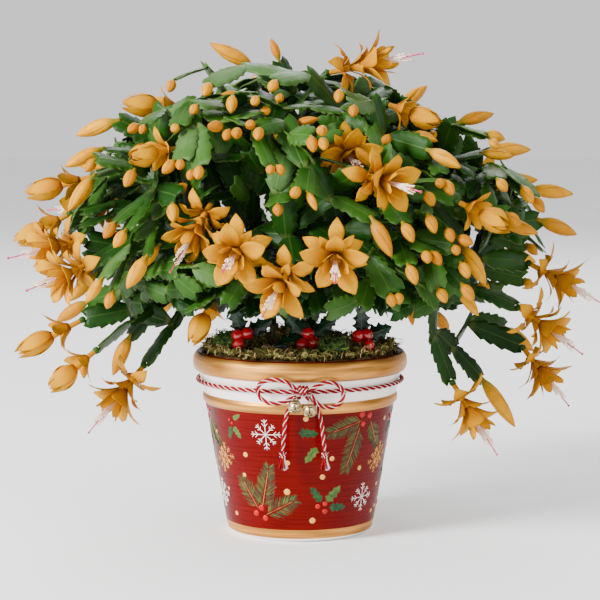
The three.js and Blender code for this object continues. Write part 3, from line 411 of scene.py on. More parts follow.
def list_flowers():
    front = lambda kind, ends: [(kind, place(a), place(b)) for a, b in ends]
    back = lambda kind, spots, length: [(kind, *place_on_back(spot, length)) for spot in spots]
    found = (front("open", OPEN_BLOOMS) + back("open", BACK_OPEN_BLOOMS, BACK_BLOOM_LENGTH)
             + front("half", HALF_OPEN_BLOOMS) + back("half", BACK_HALF_OPEN_BLOOMS, BACK_BLOOM_LENGTH)
             + front("bud", LARGE_BUDS) + back("bud", BACK_BUDS, BACK_BUD_LENGTH)
             + front("bud", SMALL_BUDS))
    return [make_flower(kind, index, base, mouth) for index, (kind, base, mouth) in enumerate(found)]


def box_along(start, end, across, width, thickness, owner):
    axis = unit(sub(end, start))
    return {"owner": owner, "middle": mix(start, end, 0.5), "ways": (axis, across, cross(axis, across)),
            "half": (size(sub(end, start)) / 2, width / 2, thickness / 2), "parent": None}


def list_petals(flower):
    base, axis, length, side = lie_of(flower)
    petals = []
    for w, (root, belly, tip, width) in enumerate(WHORLS[flower["kind"]]):
        for k in range(PETALS):
            seed = flower["index"] * 31 + w * 11 + k
            out = turn(side, axis, math.tau * (k + 0.1 * draw(seed)) / PETALS)
            lean = 1 + 0.12 * draw(seed + 500)
            spot = lambda along, away: add(add(base, axis, along * length), out, away)
            petals.append({
                "root": spot(root, 3), "belly": spot(belly[0], belly[1] * lean),
                "tip": spot(tip[0] + 0.05 * draw(seed + 900), tip[1] * lean),
                "across": cross(axis, out), "width": width, "whorl": w, "out": out,
            })
    return petals


def flower_boxes(flower):
    (base, axis, length, side), owner = lie_of(flower), flower["owner"]
    if flower["kind"] == "bud":
        thick = 2 * min(BUD_FATNESS * length, BUD_RADIUS_LIMIT) + CLEARANCE
        return [box_along(add(base, axis, 1), add(base, axis, length), side, thick, thick, owner)]
    boxes = [box_along(base, add(base, axis, length), side, 10, 10, owner)]
    for petal in list_petals(flower):
        for a, b in ((petal["root"], petal["belly"]), (petal["belly"], petal["tip"])):
            boxes.append(box_along(a, b, petal["across"], petal["width"], 3, owner))
    return boxes


class Space:
    """All boxes so far, held in arrays so that one box is tried against all of them at once."""

    def __init__(self, boxes):
        room = 4096  # more boxes than the plant ever has
        self.boxes = []
        self.middle, self.half, self.ways = (np.zeros((room, 3)), np.zeros((room, 3)), np.zeros((room, 3, 3)))
        for box in boxes:
            self.append(box)

    def append(self, box):
        n = len(self.boxes)
        self.boxes.append(box)
        self.middle[n], self.half[n], self.ways[n] = box["middle"], box["half"], box["ways"]

    def hits(self, box):
        """The boxes that this one isn't clear of along any direction."""
        n = len(self.boxes)
        middle, half = np.array(box["middle"]), np.array(box["half"])
        between = middle - self.middle[:n]
        reach = np.sqrt((half ** 2).sum()) + np.sqrt((self.half[:n] ** 2).sum(1))
        near = np.nonzero(np.sqrt((between ** 2).sum(1)) <= reach)[0]
        if not len(near):
            return []
        ways_p, ways_q = np.array(box["ways"]), self.ways[near]
        tests = [np.broadcast_to(ways_p, (len(near), 3, 3)), ways_q]
        tests.append(np.cross(ways_p[None, :, None, :], ways_q[:, None, :, :]).reshape(len(near), 9, 3))
        tests = np.concatenate(tests, axis=1)
        gap = np.abs(np.einsum("nk,ntk->nt", between[near], tests))
        reach_p = np.einsum("ntk,ik,i->nt", np.abs(np.einsum("ntk,ik->nti", tests, ways_p)), np.eye(3), half)
        reach_q = np.einsum("nti,ni->nt", np.abs(np.einsum("ntk,nik->nti", tests, ways_q)), self.half[near])
        length = np.sqrt((tests ** 2).sum(2))
        clear = ((gap > reach_p + reach_q) & (length >= 1e-6)).any(1)
        return [self.boxes[i] for i in near[~clear]]


def fit_pad(start, end, width, thickness, seed, joint, space, ignore=lambda other: False):
    """A pad from start to end that is clear of all boxes but its own parent and brothers, or None."""
    axis = unit(sub(end, start))
    outward = sub(mix(start, end, 0.5), DOME_CENTRE)
    facing = square_to(axis, tuple(outward[i] / DOME_HALF[i] for i in range(3)))
    for roll in PAD_ROLLS:
        normal = turn(facing, axis, math.radians(roll + 16 * draw(seed)))
        across = cross(axis, normal)
        box = box_along(start, end, across, width + CLEARANCE, thickness + CLEARANCE, joint["stem"])
        own = joint.get("box")
        box["parent"] = own
        crossed = [other for other in space.hits(box)
                   if not (other is own or (own is not None and other["parent"] is own) or ignore(other))]
        if not crossed:
            return {"start": start, "end": end, "width": width, "thickness": thickness, "normal": normal,
                    "across": across, "box": box, "stem": joint["stem"]}
    return None


def root_at(joint, side, slot):
    rooted = add(joint["point"], side, slot * SLOT_OFFSET * joint["width"])
    return add(rooted, joint["way"], -PAD_SINK)


def take_slot(joint, way):
    side = dot(way, joint["across"]) if "across" in joint else 0
    wanted = (side > 0) - (side < 0)
    slot = wanted if wanted in joint["slots"] else joint["slots"][0]
    joint["slots"] = [other for other in joint["slots"] if other != slot]
    return root_at(joint, joint["across"], slot)


def add_pad(plant, pad, slots):
    plant["pads"].append(pad)
    plant["space"].append(pad["box"])
    joint = {"point": pad["end"], "way": unit(sub(pad["end"], pad["start"])), "stem": pad["stem"],
             "width": pad["width"], "across": pad["across"], "box": pad["box"], "slots": slots}
    plant["joints"].append(joint)
    return joint


def plan_way(joint, flower):
    """How a chain gets from a joint to a flower: in one pad, or by a bend to where its last starts."""
    straight = sub(flower["base"], joint["point"])
    reach = size(straight)
    if reach < DIRECT_REACH * PAD_LENGTH and dot(unit(straight), flower["axis"]) > LEAST_LEAD:
        return [flower["base"]], reach, False
    arrive = unit(add(flower["axis"], unit(straight), 0.8))
    eve = add(flower["base"], arrive, -PAD_LENGTH)
    span = size(sub(eve, joint["point"]))
    lead = times(unit(add(joint["way"], unit(straight), 0.9)), span * 0.9)

    def along(t):
        ends = add(times(joint["point"], 2 * t ** 3 - 3 * t ** 2 + 1), eve, 3 * t ** 2 - 2 * t ** 3)
        return add(add(ends, lead, t ** 3 - 2 * t ** 2 + t), arrive, (t ** 3 - t ** 2) * span * 0.8)

    stops = [along(k / WAY_STEPS) for k in range(WAY_STEPS + 1)]
    travelled = running_lengths(stops)
    travel = travelled[-1]
    count = max(1, math.floor(travel / PAD_LENGTH + 0.5))
    joints = []
    for k in range(count):
        goal = travel * (k + 1) / count
        found = next((i for i, length in enumerate(travelled) if length >= goal), -1)
        step = max(0, min(WAY_STEPS - 1, found - 1))
        share = (goal - travelled[step]) / (travelled[step + 1] - travelled[step])
        joints.append(mix(stops[step], stops[step + 1], share))
    return joints + [flower["base"]], travel + PAD_LENGTH, span < LEAST_SPAN * PAD_LENGTH


def list_ends(start, aim, shifts):
    outward = unit(sub(aim, DOME_CENTRE))
    sideways = unit(cross(outward, unit(sub(aim, start))))
    return [(add(add(aim, outward, out), sideways, over), shrink)
            for shrink in PAD_SHRINKS for out, over in shifts]


def grow_chain(joint, flower, plant, forced=True):
    """Grows a chain of pads from a joint to a flower. An unforced chain ends where it is blocked."""
    joints, _, _ = plan_way(joint, flower)
    source = joint
    for k, aim in enumerate(joints):
        last = k == len(joints) - 1
        seed = len(plant["pads"]) * 7 + 3
        if k == 0:
            start = take_slot(source, sub(flower["base"], source["point"]))
        else:
            start = add(source["point"], source["way"], -PAD_SINK)
        own = lambda other: last and other["owner"] == flower["owner"]
        pad = None
        for end, shrink in list_ends(start, aim, [(0, 0)] if last else JOINT_SHIFTS):
            width = PAD_WIDTH * shrink * (1 + 0.1 * draw(seed + 1))
            pad = fit_pad(start, end, width, PAD_THICKNESS, seed, source, plant["space"], own)
            if pad:
                break
        if pad is None and not forced:
            return False
        if pad is None:
            kin = lambda other: own(other) or other["owner"] == source["stem"]
            pad = fit_pad(start, aim, PAD_WIDTH * 0.5, PAD_THICKNESS, seed, source, plant["space"], kin)
            if pad is None:
                pad = fit_pad(start, aim, PAD_WIDTH * 0.4, PAD_THICKNESS, seed, source, plant["space"],
                              lambda other: True)
        source = add_pad(plant, pad, [] if last else [1, -1])
    return True


def grow_stems(plant):
    for k, (heading, limb) in enumerate(STEMS):
        stem = f"leafy_stem_{k + 1}"
        spoke = (math.cos(math.radians(heading)), math.sin(math.radians(heading)), 0)
        points = [add(times(spoke, radius), (0, 0, height)) for radius, height in limb]
        plant["feet"].append((stem, add(times(spoke, limb[0][0]), (0, 0, STEM_FOOT_Z)), points[0]))
        source = {"point": points[0], "way": (0, 0, 1), "stem": stem}
        for j in range(1, len(points)):
            for end in (add(mix(points[j - 1], points[j], 0.5), (0, 0, 3)), points[j]):
                seed = len(plant["pads"]) * 7 + 3
                start = add(source["point"], source["way"], -PAD_SINK)
                pad = fit_pad(start, end, LIMB_PAD_WIDTH, LIMB_PAD_THICKNESS, seed, source, plant["space"])
                source = add_pad(plant, pad, [1, -1])
        source["slots"] = [1, -1, 0]


def choose_joint(plant, flower):
    """The joint that a flower's chain best grows from: near, leading its way, and not yet crowded."""
    crowds = {}
    for pad in plant["pads"]:
        crowds[pad["stem"]] = crowds.get(pad["stem"], 0) + 1
    best = None
    for joint in plant["joints"]:
        if not joint["slots"]:
            continue
        straight = sub(flower["base"], joint["point"])
        if size(straight) <= LEAST_SPAN * PAD_LENGTH or (best and size(straight) > best[0]):
            continue
        turn_back = max(0, 0.35 - dot(unit(straight), joint["way"]))
        climb = max(0, flower["base"][2] - joint["point"][2])
        uphill = climb if flower["base"][2] < DOME_CENTRE[2] else 0
        _, length, close = plan_way(joint, flower)
        cost = (length + 60 * turn_back + 1.5 * uphill + 14 * (2 - len(joint["slots"]))
                + 0.4 * crowds.get(joint["stem"], 0))
        if not close and (best is None or cost < best[0]):
            best = (cost, joint)
    return best[1] if best else None


def grow_plant():
    flowers = list_flowers()
    space = Space([box for flower in flowers for box in flower_boxes(flower)])
    plant = {"pads": [], "space": space, "joints": [], "feet": [], "flowers": flowers}
    grow_stems(plant)
    crown = add(DOME_CENTRE, (0, 0, 20))
    for flower in sorted(flowers, key=lambda f: size(sub(f["base"], crown))):
        joint = choose_joint(plant, flower)
        flower["stem"] = joint["stem"]
        grow_chain(joint, flower, plant)
        if flower["kind"] == "bud":
            for box in space.boxes:
                if box["owner"] == flower["owner"]:
                    box["owner"] = joint["stem"]
    return plant


# ---- making meshes ----

LOOKS = {}  # each material by its name


def to_metres(point):
    return Vector(point) * MM


def grid(columns, rows):
    """A flat mesh of columns by rows faces: x runs -1 to 1 across it, y 0 to 1 along it, with UVs."""
    bm = bmesh.new()
    bm.loops.layers.uv.new("UVMap")
    bmesh.ops.create_grid(bm, x_segments=columns, y_segments=rows, size=1.0, calc_uvs=True)
    for vert in bm.verts:
        vert.co.y = (vert.co.y + 1) / 2
    return bm


def link(name, data):
    piece = bpy.data.objects.new(name, data)
    bpy.context.scene.collection.objects.link(piece)
    return piece


def keep(bm, name):
    """Turns a bmesh into a mesh."""
    mesh = bpy.data.meshes.new(name)
    bm.to_mesh(mesh)
    bm.free()
    return mesh


def share_out(points, value):
    """The value at this place along a list of (place, value) pairs."""
    for (a, low), (b, high) in zip(points, points[1:]):
        if value <= b:
            return low + (high - low) * (value - a) / (b - a)
    return points[-1][1]


def face_outward(bm):
    bmesh.ops.recalc_face_normals(bm, faces=bm.faces)


def subdivide(outline, step, power=1):
    """An outline of (place along, half width) with rows about one step apart."""
    rows = []
    for (a, low), (b, high) in zip(outline, outline[1:]):
        steps = max(1, round((b - a) / step))
        rows += [(a + (b - a) * k / steps, low + (high - low) * (k / steps) ** power) for k in range(steps)]
    return rows + [outline[-1]]


def blade_template(name, rows, columns):
    """A thin closed blade from rows of (place along it, half width), with its two faces at z -1 and 1."""
    bm = grid(columns, len(rows) - 1)
    for vert in bm.verts:
        along, half = rows[round(vert.co.y * (len(rows) - 1))]
        vert.co = (vert.co.x * half, along, 0)
    face_outward(bm)
    bmesh.ops.solidify(bm, geom=bm.faces, thickness=1.0)
    top = max(vert.co.z for vert in bm.verts)
    for vert in bm.verts:
        vert.co.z = 1.0 if vert.co.z > top - 0.5 else -1.0
    face_outward(bm)
    return keep(bm, name)


def turn_profile(bm, profile, sides, closed=False):
    """Turns a profile of (radius, height) once round the axis."""
    points = [bm.verts.new((radius, 0, height)) for radius, height in profile]
    ends = points[1:] + points[:1] if closed else points[1:]
    edges = [bm.edges.new(pair) for pair in zip(points, ends)]
    bmesh.ops.spin(bm, geom=points + edges, axis=(0, 0, 1), cent=(0, 0, 0), angle=math.tau,
                   steps=sides, use_merge=True)


def round_template(name, profile, sides):
    """A turned closed shape from a profile that starts and ends on the axis."""
    bm = bmesh.new()
    uv = bm.loops.layers.uv.new("UVMap")
    turn_profile(bm, profile, sides)
    bmesh.ops.remove_doubles(bm, verts=bm.verts, dist=1e-5)
    bmesh.ops.dissolve_degenerate(bm, edges=bm.edges, dist=1e-5)
    face_outward(bm)
    heights = [height for _, height in profile]
    low, high = min(heights), max(heights)
    for face in bm.faces:
        middle = face.calc_center_median()
        about = math.atan2(middle.y, middle.x)
        for loop in face.loops:
            co = loop.vert.co
            angle = math.atan2(co.y, co.x) if math.hypot(co.x, co.y) > 1e-4 else about
            angle += math.tau * round((about - angle) / math.tau)
            loop[uv].uv = (angle / math.tau + 0.5, (co.z - low) / (high - low))
    return keep(bm, name)


class Sculpt:
    """A mesh that shapes are copied into, each with its own tint between -1 and 1 on its points."""

    def __init__(self):
        self.bm = bmesh.new()
        self.bm.loops.layers.uv.new("UVMap")
        self.tint = self.bm.verts.layers.float.new("tint")

    def stamp(self, template, move, tint=0.0, material=0):
        verts, faces = len(self.bm.verts), len(self.bm.faces)
        self.bm.from_mesh(template)
        self.bm.verts.ensure_lookup_table()
        self.bm.faces.ensure_lookup_table()
        for k in range(verts, len(self.bm.verts)):
            vert = self.bm.verts[k]
            vert.co = Vector(move(vert.co)) * MM
            vert[self.tint] = tint
        for k in range(faces, len(self.bm.faces)):
            self.bm.faces[k].material_index = material

    def finish(self, name, slot, materials, replaces=(), merge=None):
        if merge:
            bmesh.ops.remove_doubles(self.bm, verts=self.bm.verts, dist=merge * MM)
        for face in self.bm.faces:
            face.smooth = True
        piece = link(name, keep(self.bm, name))
        for material in materials:
            piece.data.materials.append(LOOKS[material])
        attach(piece, "root")
        if replaces:
            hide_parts(*replaces)
        return piece


def frame_at(base, axis, side):
    """A move that lays a shape made along +Z and +X on an axis and a side direction."""
    over = cross(axis, side)

    def move(co, scale=1.0):
        spot = add(base, side, co[0] * scale)
        return add(add(spot, over, co[1] * scale), axis, co[2] * scale)
    return move


def smooth_path(points, per_span):
    """A centripetal curve through the points, as the plain model's cords follow."""
    full = [add(times(points[0], 2), points[1], -1), *points, add(times(points[-1], 2), points[-2], -1)]
    path = []
    for p, q, r, s in zip(full, full[1:], full[2:], full[3:]):
        before, here, after = (max(math.sqrt(size(sub(b, a))), 1e-4) for a, b in ((p, q), (q, r), (r, s)))
        lead = [here * ((q[i] - p[i]) / before - (r[i] - p[i]) / (before + here) + (r[i] - q[i]) / here)
                for i in range(3)]
        trail = [here * ((r[i] - q[i]) / here - (s[i] - q[i]) / (here + after) + (s[i] - r[i]) / after)
                 for i in range(3)]
        for k in range(per_span):
            t = k / per_span
            path.append(tuple(
                q[i] + lead[i] * t + (3 * (r[i] - q[i]) - 2 * lead[i] - trail[i]) * t ** 2
                + (2 * (q[i] - r[i]) + lead[i] + trail[i]) * t ** 3 for i in range(3)))
    return path + [tuple(points[-1])]


def even_path(path, step):
    """The same way in steps of one length, and how long it is."""
    lengths = running_lengths(path)
    count = max(2, round(lengths[-1] / step))
    spots, k = [], 0
    for i in range(count + 1):
        goal = lengths[-1] * i / count
        while k < len(path) - 2 and lengths[k + 1] < goal:
            k += 1
        spots.append(mix(path[k], path[k + 1], (goal - lengths[k]) / (lengths[k + 1] - lengths[k])))
    return spots, lengths[-1]


def frames_along(path, hint):
    """A side direction at each point of a path, turning no more than the path does."""
    tangents = [unit(sub(path[min(k + 1, len(path) - 1)], path[max(k - 1, 0)])) for k in range(len(path))]
    side = square_to(tangents[0], hint)
    sides = []
    for tangent in tangents:
        side = square_to(tangent, side)
        sides.append(side)
    return tangents, sides


def tube_template(name, around, along):
    """A grid that sweep() rolls into a closed tube: x runs round it, y along it, and z is 1 on its caps."""
    bm = grid(around, along)
    for end in (0, 1):
        rim = [edge for edge in bm.edges if all(abs(vert.co.y - end) < 1e-4 for vert in edge.verts)]
        made = bmesh.ops.extrude_edge_only(bm, edges=rim)["geom"]
        caps = [vert for vert in made if isinstance(vert, bmesh.types.BMVert)]
        for vert in caps:
            vert.co.z = 1
    return keep(bm, name)


def sweep(sculpt, template, path, hint, radius, tint=0.0, material=0, offset=None):
    """Stamps a tube along a path of as many rings. offset() may move its middle aside at each point."""
    tangents, sides = frames_along(path, hint)
    last = len(path) - 1

    def move(co):
        k = min(last, max(0, round(co.y * last)))
        side, over = sides[k], cross(tangents[k], sides[k])
        centre = offset(k, path[k], side, over) if offset else path[k]
        wide = radius(co.y) if callable(radius) else radius
        if co.z > 0.5:
            return centre
        angle = math.pi * (co.x + 1)
        return add(add(centre, side, wide * math.cos(angle)), over, wide * math.sin(angle))
    sculpt.stamp(template, move, tint, material)


# ---- finishes ----

def tone(red, green, blue):
    """A screen colour out of 255 as the light value that shaders take."""
    return tuple((c / 255 / 12.92) if c < 11 else ((c / 255 + 0.055) / 1.055) ** 2.4
                 for c in (red, green, blue)) + (1.0,)


def noise_group(name, stretch):
    """A group that puts out a mask from noise: Vector, Scale, Low and High go in."""
    group = bpy.data.node_groups.new(name, "ShaderNodeTree")
    for socket, kind in (("Vector", "Vector"), ("Scale", "Float"), ("Low", "Float"), ("High", "Float")):
        group.interface.new_socket(name=socket, in_out="INPUT", socket_type=f"NodeSocket{kind}")
    group.interface.new_socket(name="Mask", in_out="OUTPUT", socket_type="NodeSocketFloat")
    inside, outside = group.nodes.new("NodeGroupInput"), group.nodes.new("NodeGroupOutput")
    lay = group.nodes.new("ShaderNodeMapping")
    lay.inputs["Scale"].default_value = stretch
    noise = group.nodes.new("ShaderNodeTexNoise")
    noise.inputs["Detail"].default_value = 3.0
    spread = group.nodes.new("ShaderNodeMapRange")
    for a, output, b, given in (
            (inside, "Vector", lay, "Vector"), (lay, "Vector", noise, "Vector"),
            (inside, "Scale", noise, "Scale"), (noise, "Fac", spread, "Value"),
            (inside, "Low", spread, "From Min"), (inside, "High", spread, "From Max"),
            (spread, "Result", outside, "Mask")):
        group.links.new(a.outputs[output], b.inputs[given])


class Look:
    """A material, with short ways to add what gives it its colour and relief."""

    def __init__(self, name, **sockets):
        self.material = LOOKS[name] = bpy.data.materials.new(name)
        self.material.use_nodes = True
        self.tree = self.material.node_tree
        self.tree.nodes.clear()
        self.shader = self.tree.nodes.new("ShaderNodeBsdfPrincipled")
        output = self.tree.nodes.new("ShaderNodeOutputMaterial")
        self.tree.links.new(self.shader.outputs["BSDF"], output.inputs["Surface"])
        for socket, value in sockets.items():
            self.shader.inputs[socket.replace("_", " ")].default_value = value
        coordinates = self.tree.nodes.new("ShaderNodeTexCoord")
        self.object, self.uv = coordinates.outputs["Object"], coordinates.outputs["UV"]

    def set(self, socket, value):
        if isinstance(value, bpy.types.NodeSocket):
            self.tree.links.new(value, socket)
        else:
            socket.default_value = value

    def tint(self):
        """The tint of each stamped shape, as a mask between 0 and 1."""
        node = self.tree.nodes.new("ShaderNodeAttribute")
        node.attribute_name = "tint"
        return self.spread(node.outputs["Fac"], -1, 1)

    def split(self, vector):
        node = self.tree.nodes.new("ShaderNodeSeparateXYZ")
        self.set(node.inputs[0], vector)
        return node.outputs

    def math(self, kind, a, b=0.0, c=0.0):
        node = self.tree.nodes.new("ShaderNodeMath")
        node.operation = kind
        for socket, value in zip(node.inputs, (a, b, c)):
            self.set(socket, value)
        return node.outputs[0]

    def times(self, a, b):
        return self.math("MULTIPLY", a, b)

    def blend(self, a, share, b, other):
        return self.math("ADD", self.times(a, share), self.times(b, other))

    def off_middle(self):
        """How far a place is from the middle line of its own UV map, up to 0.5."""
        return self.math("ABSOLUTE", self.math("SUBTRACT", self.split(self.uv)[0], 0.5))

    def spread(self, value, low, high, new_low=0.0, new_high=1.0):
        node = self.tree.nodes.new("ShaderNodeMapRange")
        for socket, given in zip(node.inputs, (value, low, high, new_low, new_high)):
            self.set(socket, given)
        return node.outputs["Result"]

    def noise(self, vector, scale, low=0.35, high=0.65, group="Mottle"):
        node = self.tree.nodes.new("ShaderNodeGroup")
        node.node_tree = bpy.data.node_groups[group]
        for socket, value in (("Vector", vector), ("Scale", scale), ("Low", low), ("High", high)):
            self.set(node.inputs[socket], value)
        return node.outputs["Mask"]

    def mix(self, factor, a, b):
        node = self.tree.nodes.new("ShaderNodeMix")
        node.data_type = "RGBA"
        for place, value in ((0, factor), (6, a), (7, b)):
            self.set(node.inputs[place], value)
        return node.outputs[2]

    def over(self, base, mask, share, colour):
        """Lays a colour over the base where the mask is, by a share of it."""
        return self.mix(self.times(mask, share), base, tone(*colour))

    def ramp(self, value, stops):
        node = self.tree.nodes.new("ShaderNodeValToRGB")
        while len(node.color_ramp.elements) < len(stops):
            node.color_ramp.elements.new(0.5)
        for element, (position, colour) in zip(node.color_ramp.elements, stops):
            element.position, element.color = position, colour
        self.set(node.inputs[0], value)
        return node.outputs[0]

    def bump(self, height, strength, distance):
        node = self.tree.nodes.new("ShaderNodeBump")
        node.inputs["Strength"].default_value = strength
        node.inputs["Distance"].default_value = distance * MM
        self.set(node.inputs["Height"], height)
        self.set(self.shader.inputs["Normal"], node.outputs[0])

    def colour(self, value):
        self.set(self.shader.inputs["Base Color"], value)

    def rough(self, value):
        self.set(self.shader.inputs["Roughness"], value)


def mottled(name, patches, dark, light, relief=None, **sockets):
    """Two tones in patches of (scale, low, high), and a relief of (patches, strength, depth)."""
    look = Look(name, **sockets)
    look.colour(look.mix(look.noise(look.object, *patches), tone(*dark), tone(*light)))
    if relief:
        look.bump(look.noise(look.object, *relief[0]), *relief[1:])
    return look


def look_pads(plant):
    look = Look("pad_green", Specular_IOR_Level=0.13)
    along = look.split(look.uv)[1]
    patches = look.noise(look.object, 26, 0.3, 0.7)
    # The tint holds painted shade: pads deep in the plant are darker, with a random spread.
    base = look.ramp(look.blend(look.tint(), 0.72, patches, 0.28), [
        (0, tuple(plant.pad_painted_shade)), (0.5, tuple(plant.pad_middle)), (0.76, tuple(plant.pad_light)),
        (0.96, tuple(plant.pad_grey))])
    off_middle = look.off_middle()
    rib = look.spread(off_middle, 0, 0.045, 1, 0)
    base = look.over(base, rib, 0.2, (100, 128, 56))
    base = look.over(base, look.spread(off_middle, 0.455, 0.5), 0.16, (110, 120, 56))
    look.colour(look.over(base, look.spread(along, 0.14, 0.0), 0.35, (120, 124, 66)))
    look.rough(look.spread(patches, 0, 1, 0.34, 0.5))
    fine = look.noise(look.object, 420, 0.2, 0.8)
    veins = look.noise(look.uv, 5, 0.3, 0.7, "Veins")
    look.bump(look.math("ADD", look.times(fine, 0.25), look.blend(rib, 0.7, veins, 0.4)), 0.5, 0.5)
    bark = (160, 0.3, 0.7)
    mottled("woody_stem", bark, (58, 60, 28), (96, 88, 48), (bark, 0.6, 1), Roughness=0.7)


def look_petals(plant):
    look = Look("petal_yellow", Roughness=0.5, Specular_IOR_Level=0.05, Subsurface_Weight=0.04,
                Subsurface_Scale=0.004, Subsurface_Radius=(1, 0.5, 0.12))
    base = look.ramp(look.split(look.uv)[1], [
        (0, tone(158, 76, 4)), (0.16, tone(160, 98, 0)), (0.42, tuple(plant.petal)),
        (0.8, tuple(plant.petal_light)), (1, tone(160, 98, 0))])
    off_middle = look.off_middle()
    base = look.over(base, look.spread(off_middle, 0.3, 0.5), 0.4, (152, 82, 0))
    veins = look.noise(look.uv, 7, 0.3, 0.7, "Veins")
    base = look.over(base, veins, 0.34, (148, 84, 0))
    look.colour(look.over(base, look.tint(), 0.3, (190, 146, 0)))
    look.bump(look.math("ADD", veins, look.spread(off_middle, 0, 0.06, 0.6, 0.0)), 0.4, 0.5)


def look_buds(plant):
    look = Look("bud_yellow", Roughness=0.42, Specular_IOR_Level=0.1, Subsurface_Weight=0.03,
                Subsurface_Scale=0.003, Subsurface_Radius=(1, 0.5, 0.12))
    around, along, _ = look.split(look.uv)
    gold = look.mix(look.tint(), tone(166, 104, 0), tuple(plant.petal_light))
    foot = look.ramp(along, [(0, (0, 0, 0, 1)), (0.14, (0, 0, 0, 1)), (0.32, (1, 1, 1, 1))])
    base = look.mix(foot, tone(112, 100, 16), gold)
    folds = look.math("PINGPONG", look.blend(around, 4, along, 0.7), 0.5)
    seam = look.times(look.spread(folds, 0, 0.07, 1, 0), look.spread(along, 0.2, 0.45))
    base = look.over(base, seam, 0.75, (120, 56, 0))
    base = look.over(base, look.noise(look.object, 150, 0.45, 0.75), 0.4, (146, 80, 0))
    look.colour(look.over(base, look.spread(along, 0.9, 1), 0.6, (136, 68, 4)))
    look.bump(look.math("SUBTRACT", look.spread(folds, 0, 0.5), look.times(seam, 0.6)), 0.5, 0.8)


def look_stamens():
    look = Look("stamen_pink", Roughness=0.5, Subsurface_Weight=0.15, Subsurface_Scale=0.002)
    look.colour(look.ramp(look.split(look.uv)[1], [
        (0, tone(250, 160, 90)), (0.35, tone(248, 196, 176)), (1, tone(250, 226, 214))]))
    look.bump(look.noise(look.object, 900), 0.2, 0.2)
    mottled("stigma_magenta", (700,), (176, 12, 74), (214, 40, 100), Roughness=0.35)
    mottled("anther_cream", (900,), (232, 200, 150), (250, 232, 200), Roughness=0.7)


def look_pot(pot):
    glaze = Look("red_glaze", Specular_IOR_Level=0.07, Coat_Weight=0.03, Coat_Roughness=0.15)
    brush = glaze.noise(glaze.object, 26, 0.12, 0.88, "Brush")
    base = glaze.mix(brush, tuple(pot.glaze_dark), tuple(pot.glaze_light))
    glaze.colour(glaze.over(base, glaze.noise(glaze.object, 14, 0.3, 0.75), 0.4, (116, 3, 2)))
    glaze.rough(glaze.spread(brush, 0, 1, 0.2, 0.36))
    glaze.bump(brush, 0.12, 0.3)
    gold = Look("pot_gold", Metallic=0.8)
    brush = gold.noise(gold.object, 14, 0.3, 0.7, "Brush")
    gold.colour(gold.mix(brush, tone(140, 90, 34), tuple(pot.gold)))
    gold.rough(gold.spread(brush, 0, 1, 0.32, 0.48))
    gold.bump(brush, 0.15, 0.3)
    cream = Look("pot_cream", Roughness=0.4, Coat_Weight=0.25)
    brush = cream.noise(cream.object, 10, 0.3, 0.7, "Brush")
    cream.colour(cream.mix(brush, tuple(pot.cream), tone(250, 246, 240)))
    cream.bump(cream.noise(cream.object, 120), 0.08, 0.3)


def look_paints():
    for name, dark, light, rough in (
            ("white", (226, 216, 206), (250, 246, 242), 0.45), ("gold", (200, 136, 52), (232, 178, 92), 0.4),
            ("leaf", (8, 40, 18), (22, 76, 30), 0.35), ("leaf_light", (38, 78, 26), (92, 116, 46), 0.4),
            ("needle", (22, 38, 18), (56, 72, 36), 0.45), ("twig", (150, 112, 60), (180, 146, 86), 0.45),
            ("berry", (146, 0, 4), (188, 6, 8), 0.25)):
        mottled(f"paint_{name}", (260, 0.3, 0.7), dark, light, ((700,), 0.1, 0.2), Roughness=rough,
                Specular_IOR_Level=0.25)


def look_moss():
    for name, *tones in (
            ("moss_brown", (34, 24, 8), (146, 112, 54), (250, 222, 156)),
            ("moss_olive", (40, 42, 10), (126, 122, 44), (214, 206, 120)),
            ("moss_green", (12, 30, 4), (48, 82, 16), (124, 152, 58)),
            ("twig_brown", (74, 52, 28), (134, 104, 66), (196, 160, 118))):
        look = Look(name, Roughness=0.85)
        shade = look.blend(look.tint(), 0.7, look.noise(look.object, 120), 0.3)
        look.colour(look.ramp(shade, [(k / 2, tone(*tones[k])) for k in range(3)]))
        look.bump(look.noise(look.object, 900), 0.4, 0.4)
    crumbs = (260, 0.3, 0.7)
    mottled("potting_soil", crumbs, (24, 16, 10), (62, 44, 30), (crumbs, 0.8, 2), Roughness=0.95)


def look_holly():
    leaf = Look("holly_green", Roughness=0.26, Specular_IOR_Level=0.3, Coat_Weight=0.12)
    off_middle = leaf.off_middle()
    rib = leaf.spread(off_middle, 0, 0.05, 1, 0)
    slant = leaf.blend(leaf.split(leaf.uv)[1], 7, off_middle, -5)
    veins = leaf.spread(leaf.math("PINGPONG", slant, 0.5), 0, 0.08, 1, 0)
    lines = leaf.math("MAXIMUM", rib, leaf.times(veins, 0.45))
    base = leaf.mix(leaf.noise(leaf.object, 60), tone(3, 26, 14), tone(10, 54, 26))
    leaf.colour(leaf.over(base, lines, 0.5, (60, 104, 58)))
    leaf.bump(lines, 0.5, 0.8)
    mottled("berry_red", (90,), (150, 4, 12), (206, 16, 24), ((500,), 0.06, 0.2), Roughness=0.16,
            Coat_Weight=0.7)
    mottled("pick_wire", (400,), (34, 52, 28), (60, 78, 44), ((800,), 0.3, 0.3), Roughness=0.6)


def look_cord(trim):
    for name, colour, deep in (("yarn_red", trim.cord_red, (84, 0, 8)),
                               ("yarn_white", trim.cord_white, (206, 190, 184))):
        look = Look(name, Roughness=0.85, Specular_IOR_Level=0.15)
        fibres = look.noise(look.uv, 10, 0.3, 0.7, "Fibres")
        look.colour(look.mix(fibres, tone(*deep), tuple(colour)))
        look.bump(fibres, 0.6, 0.35)


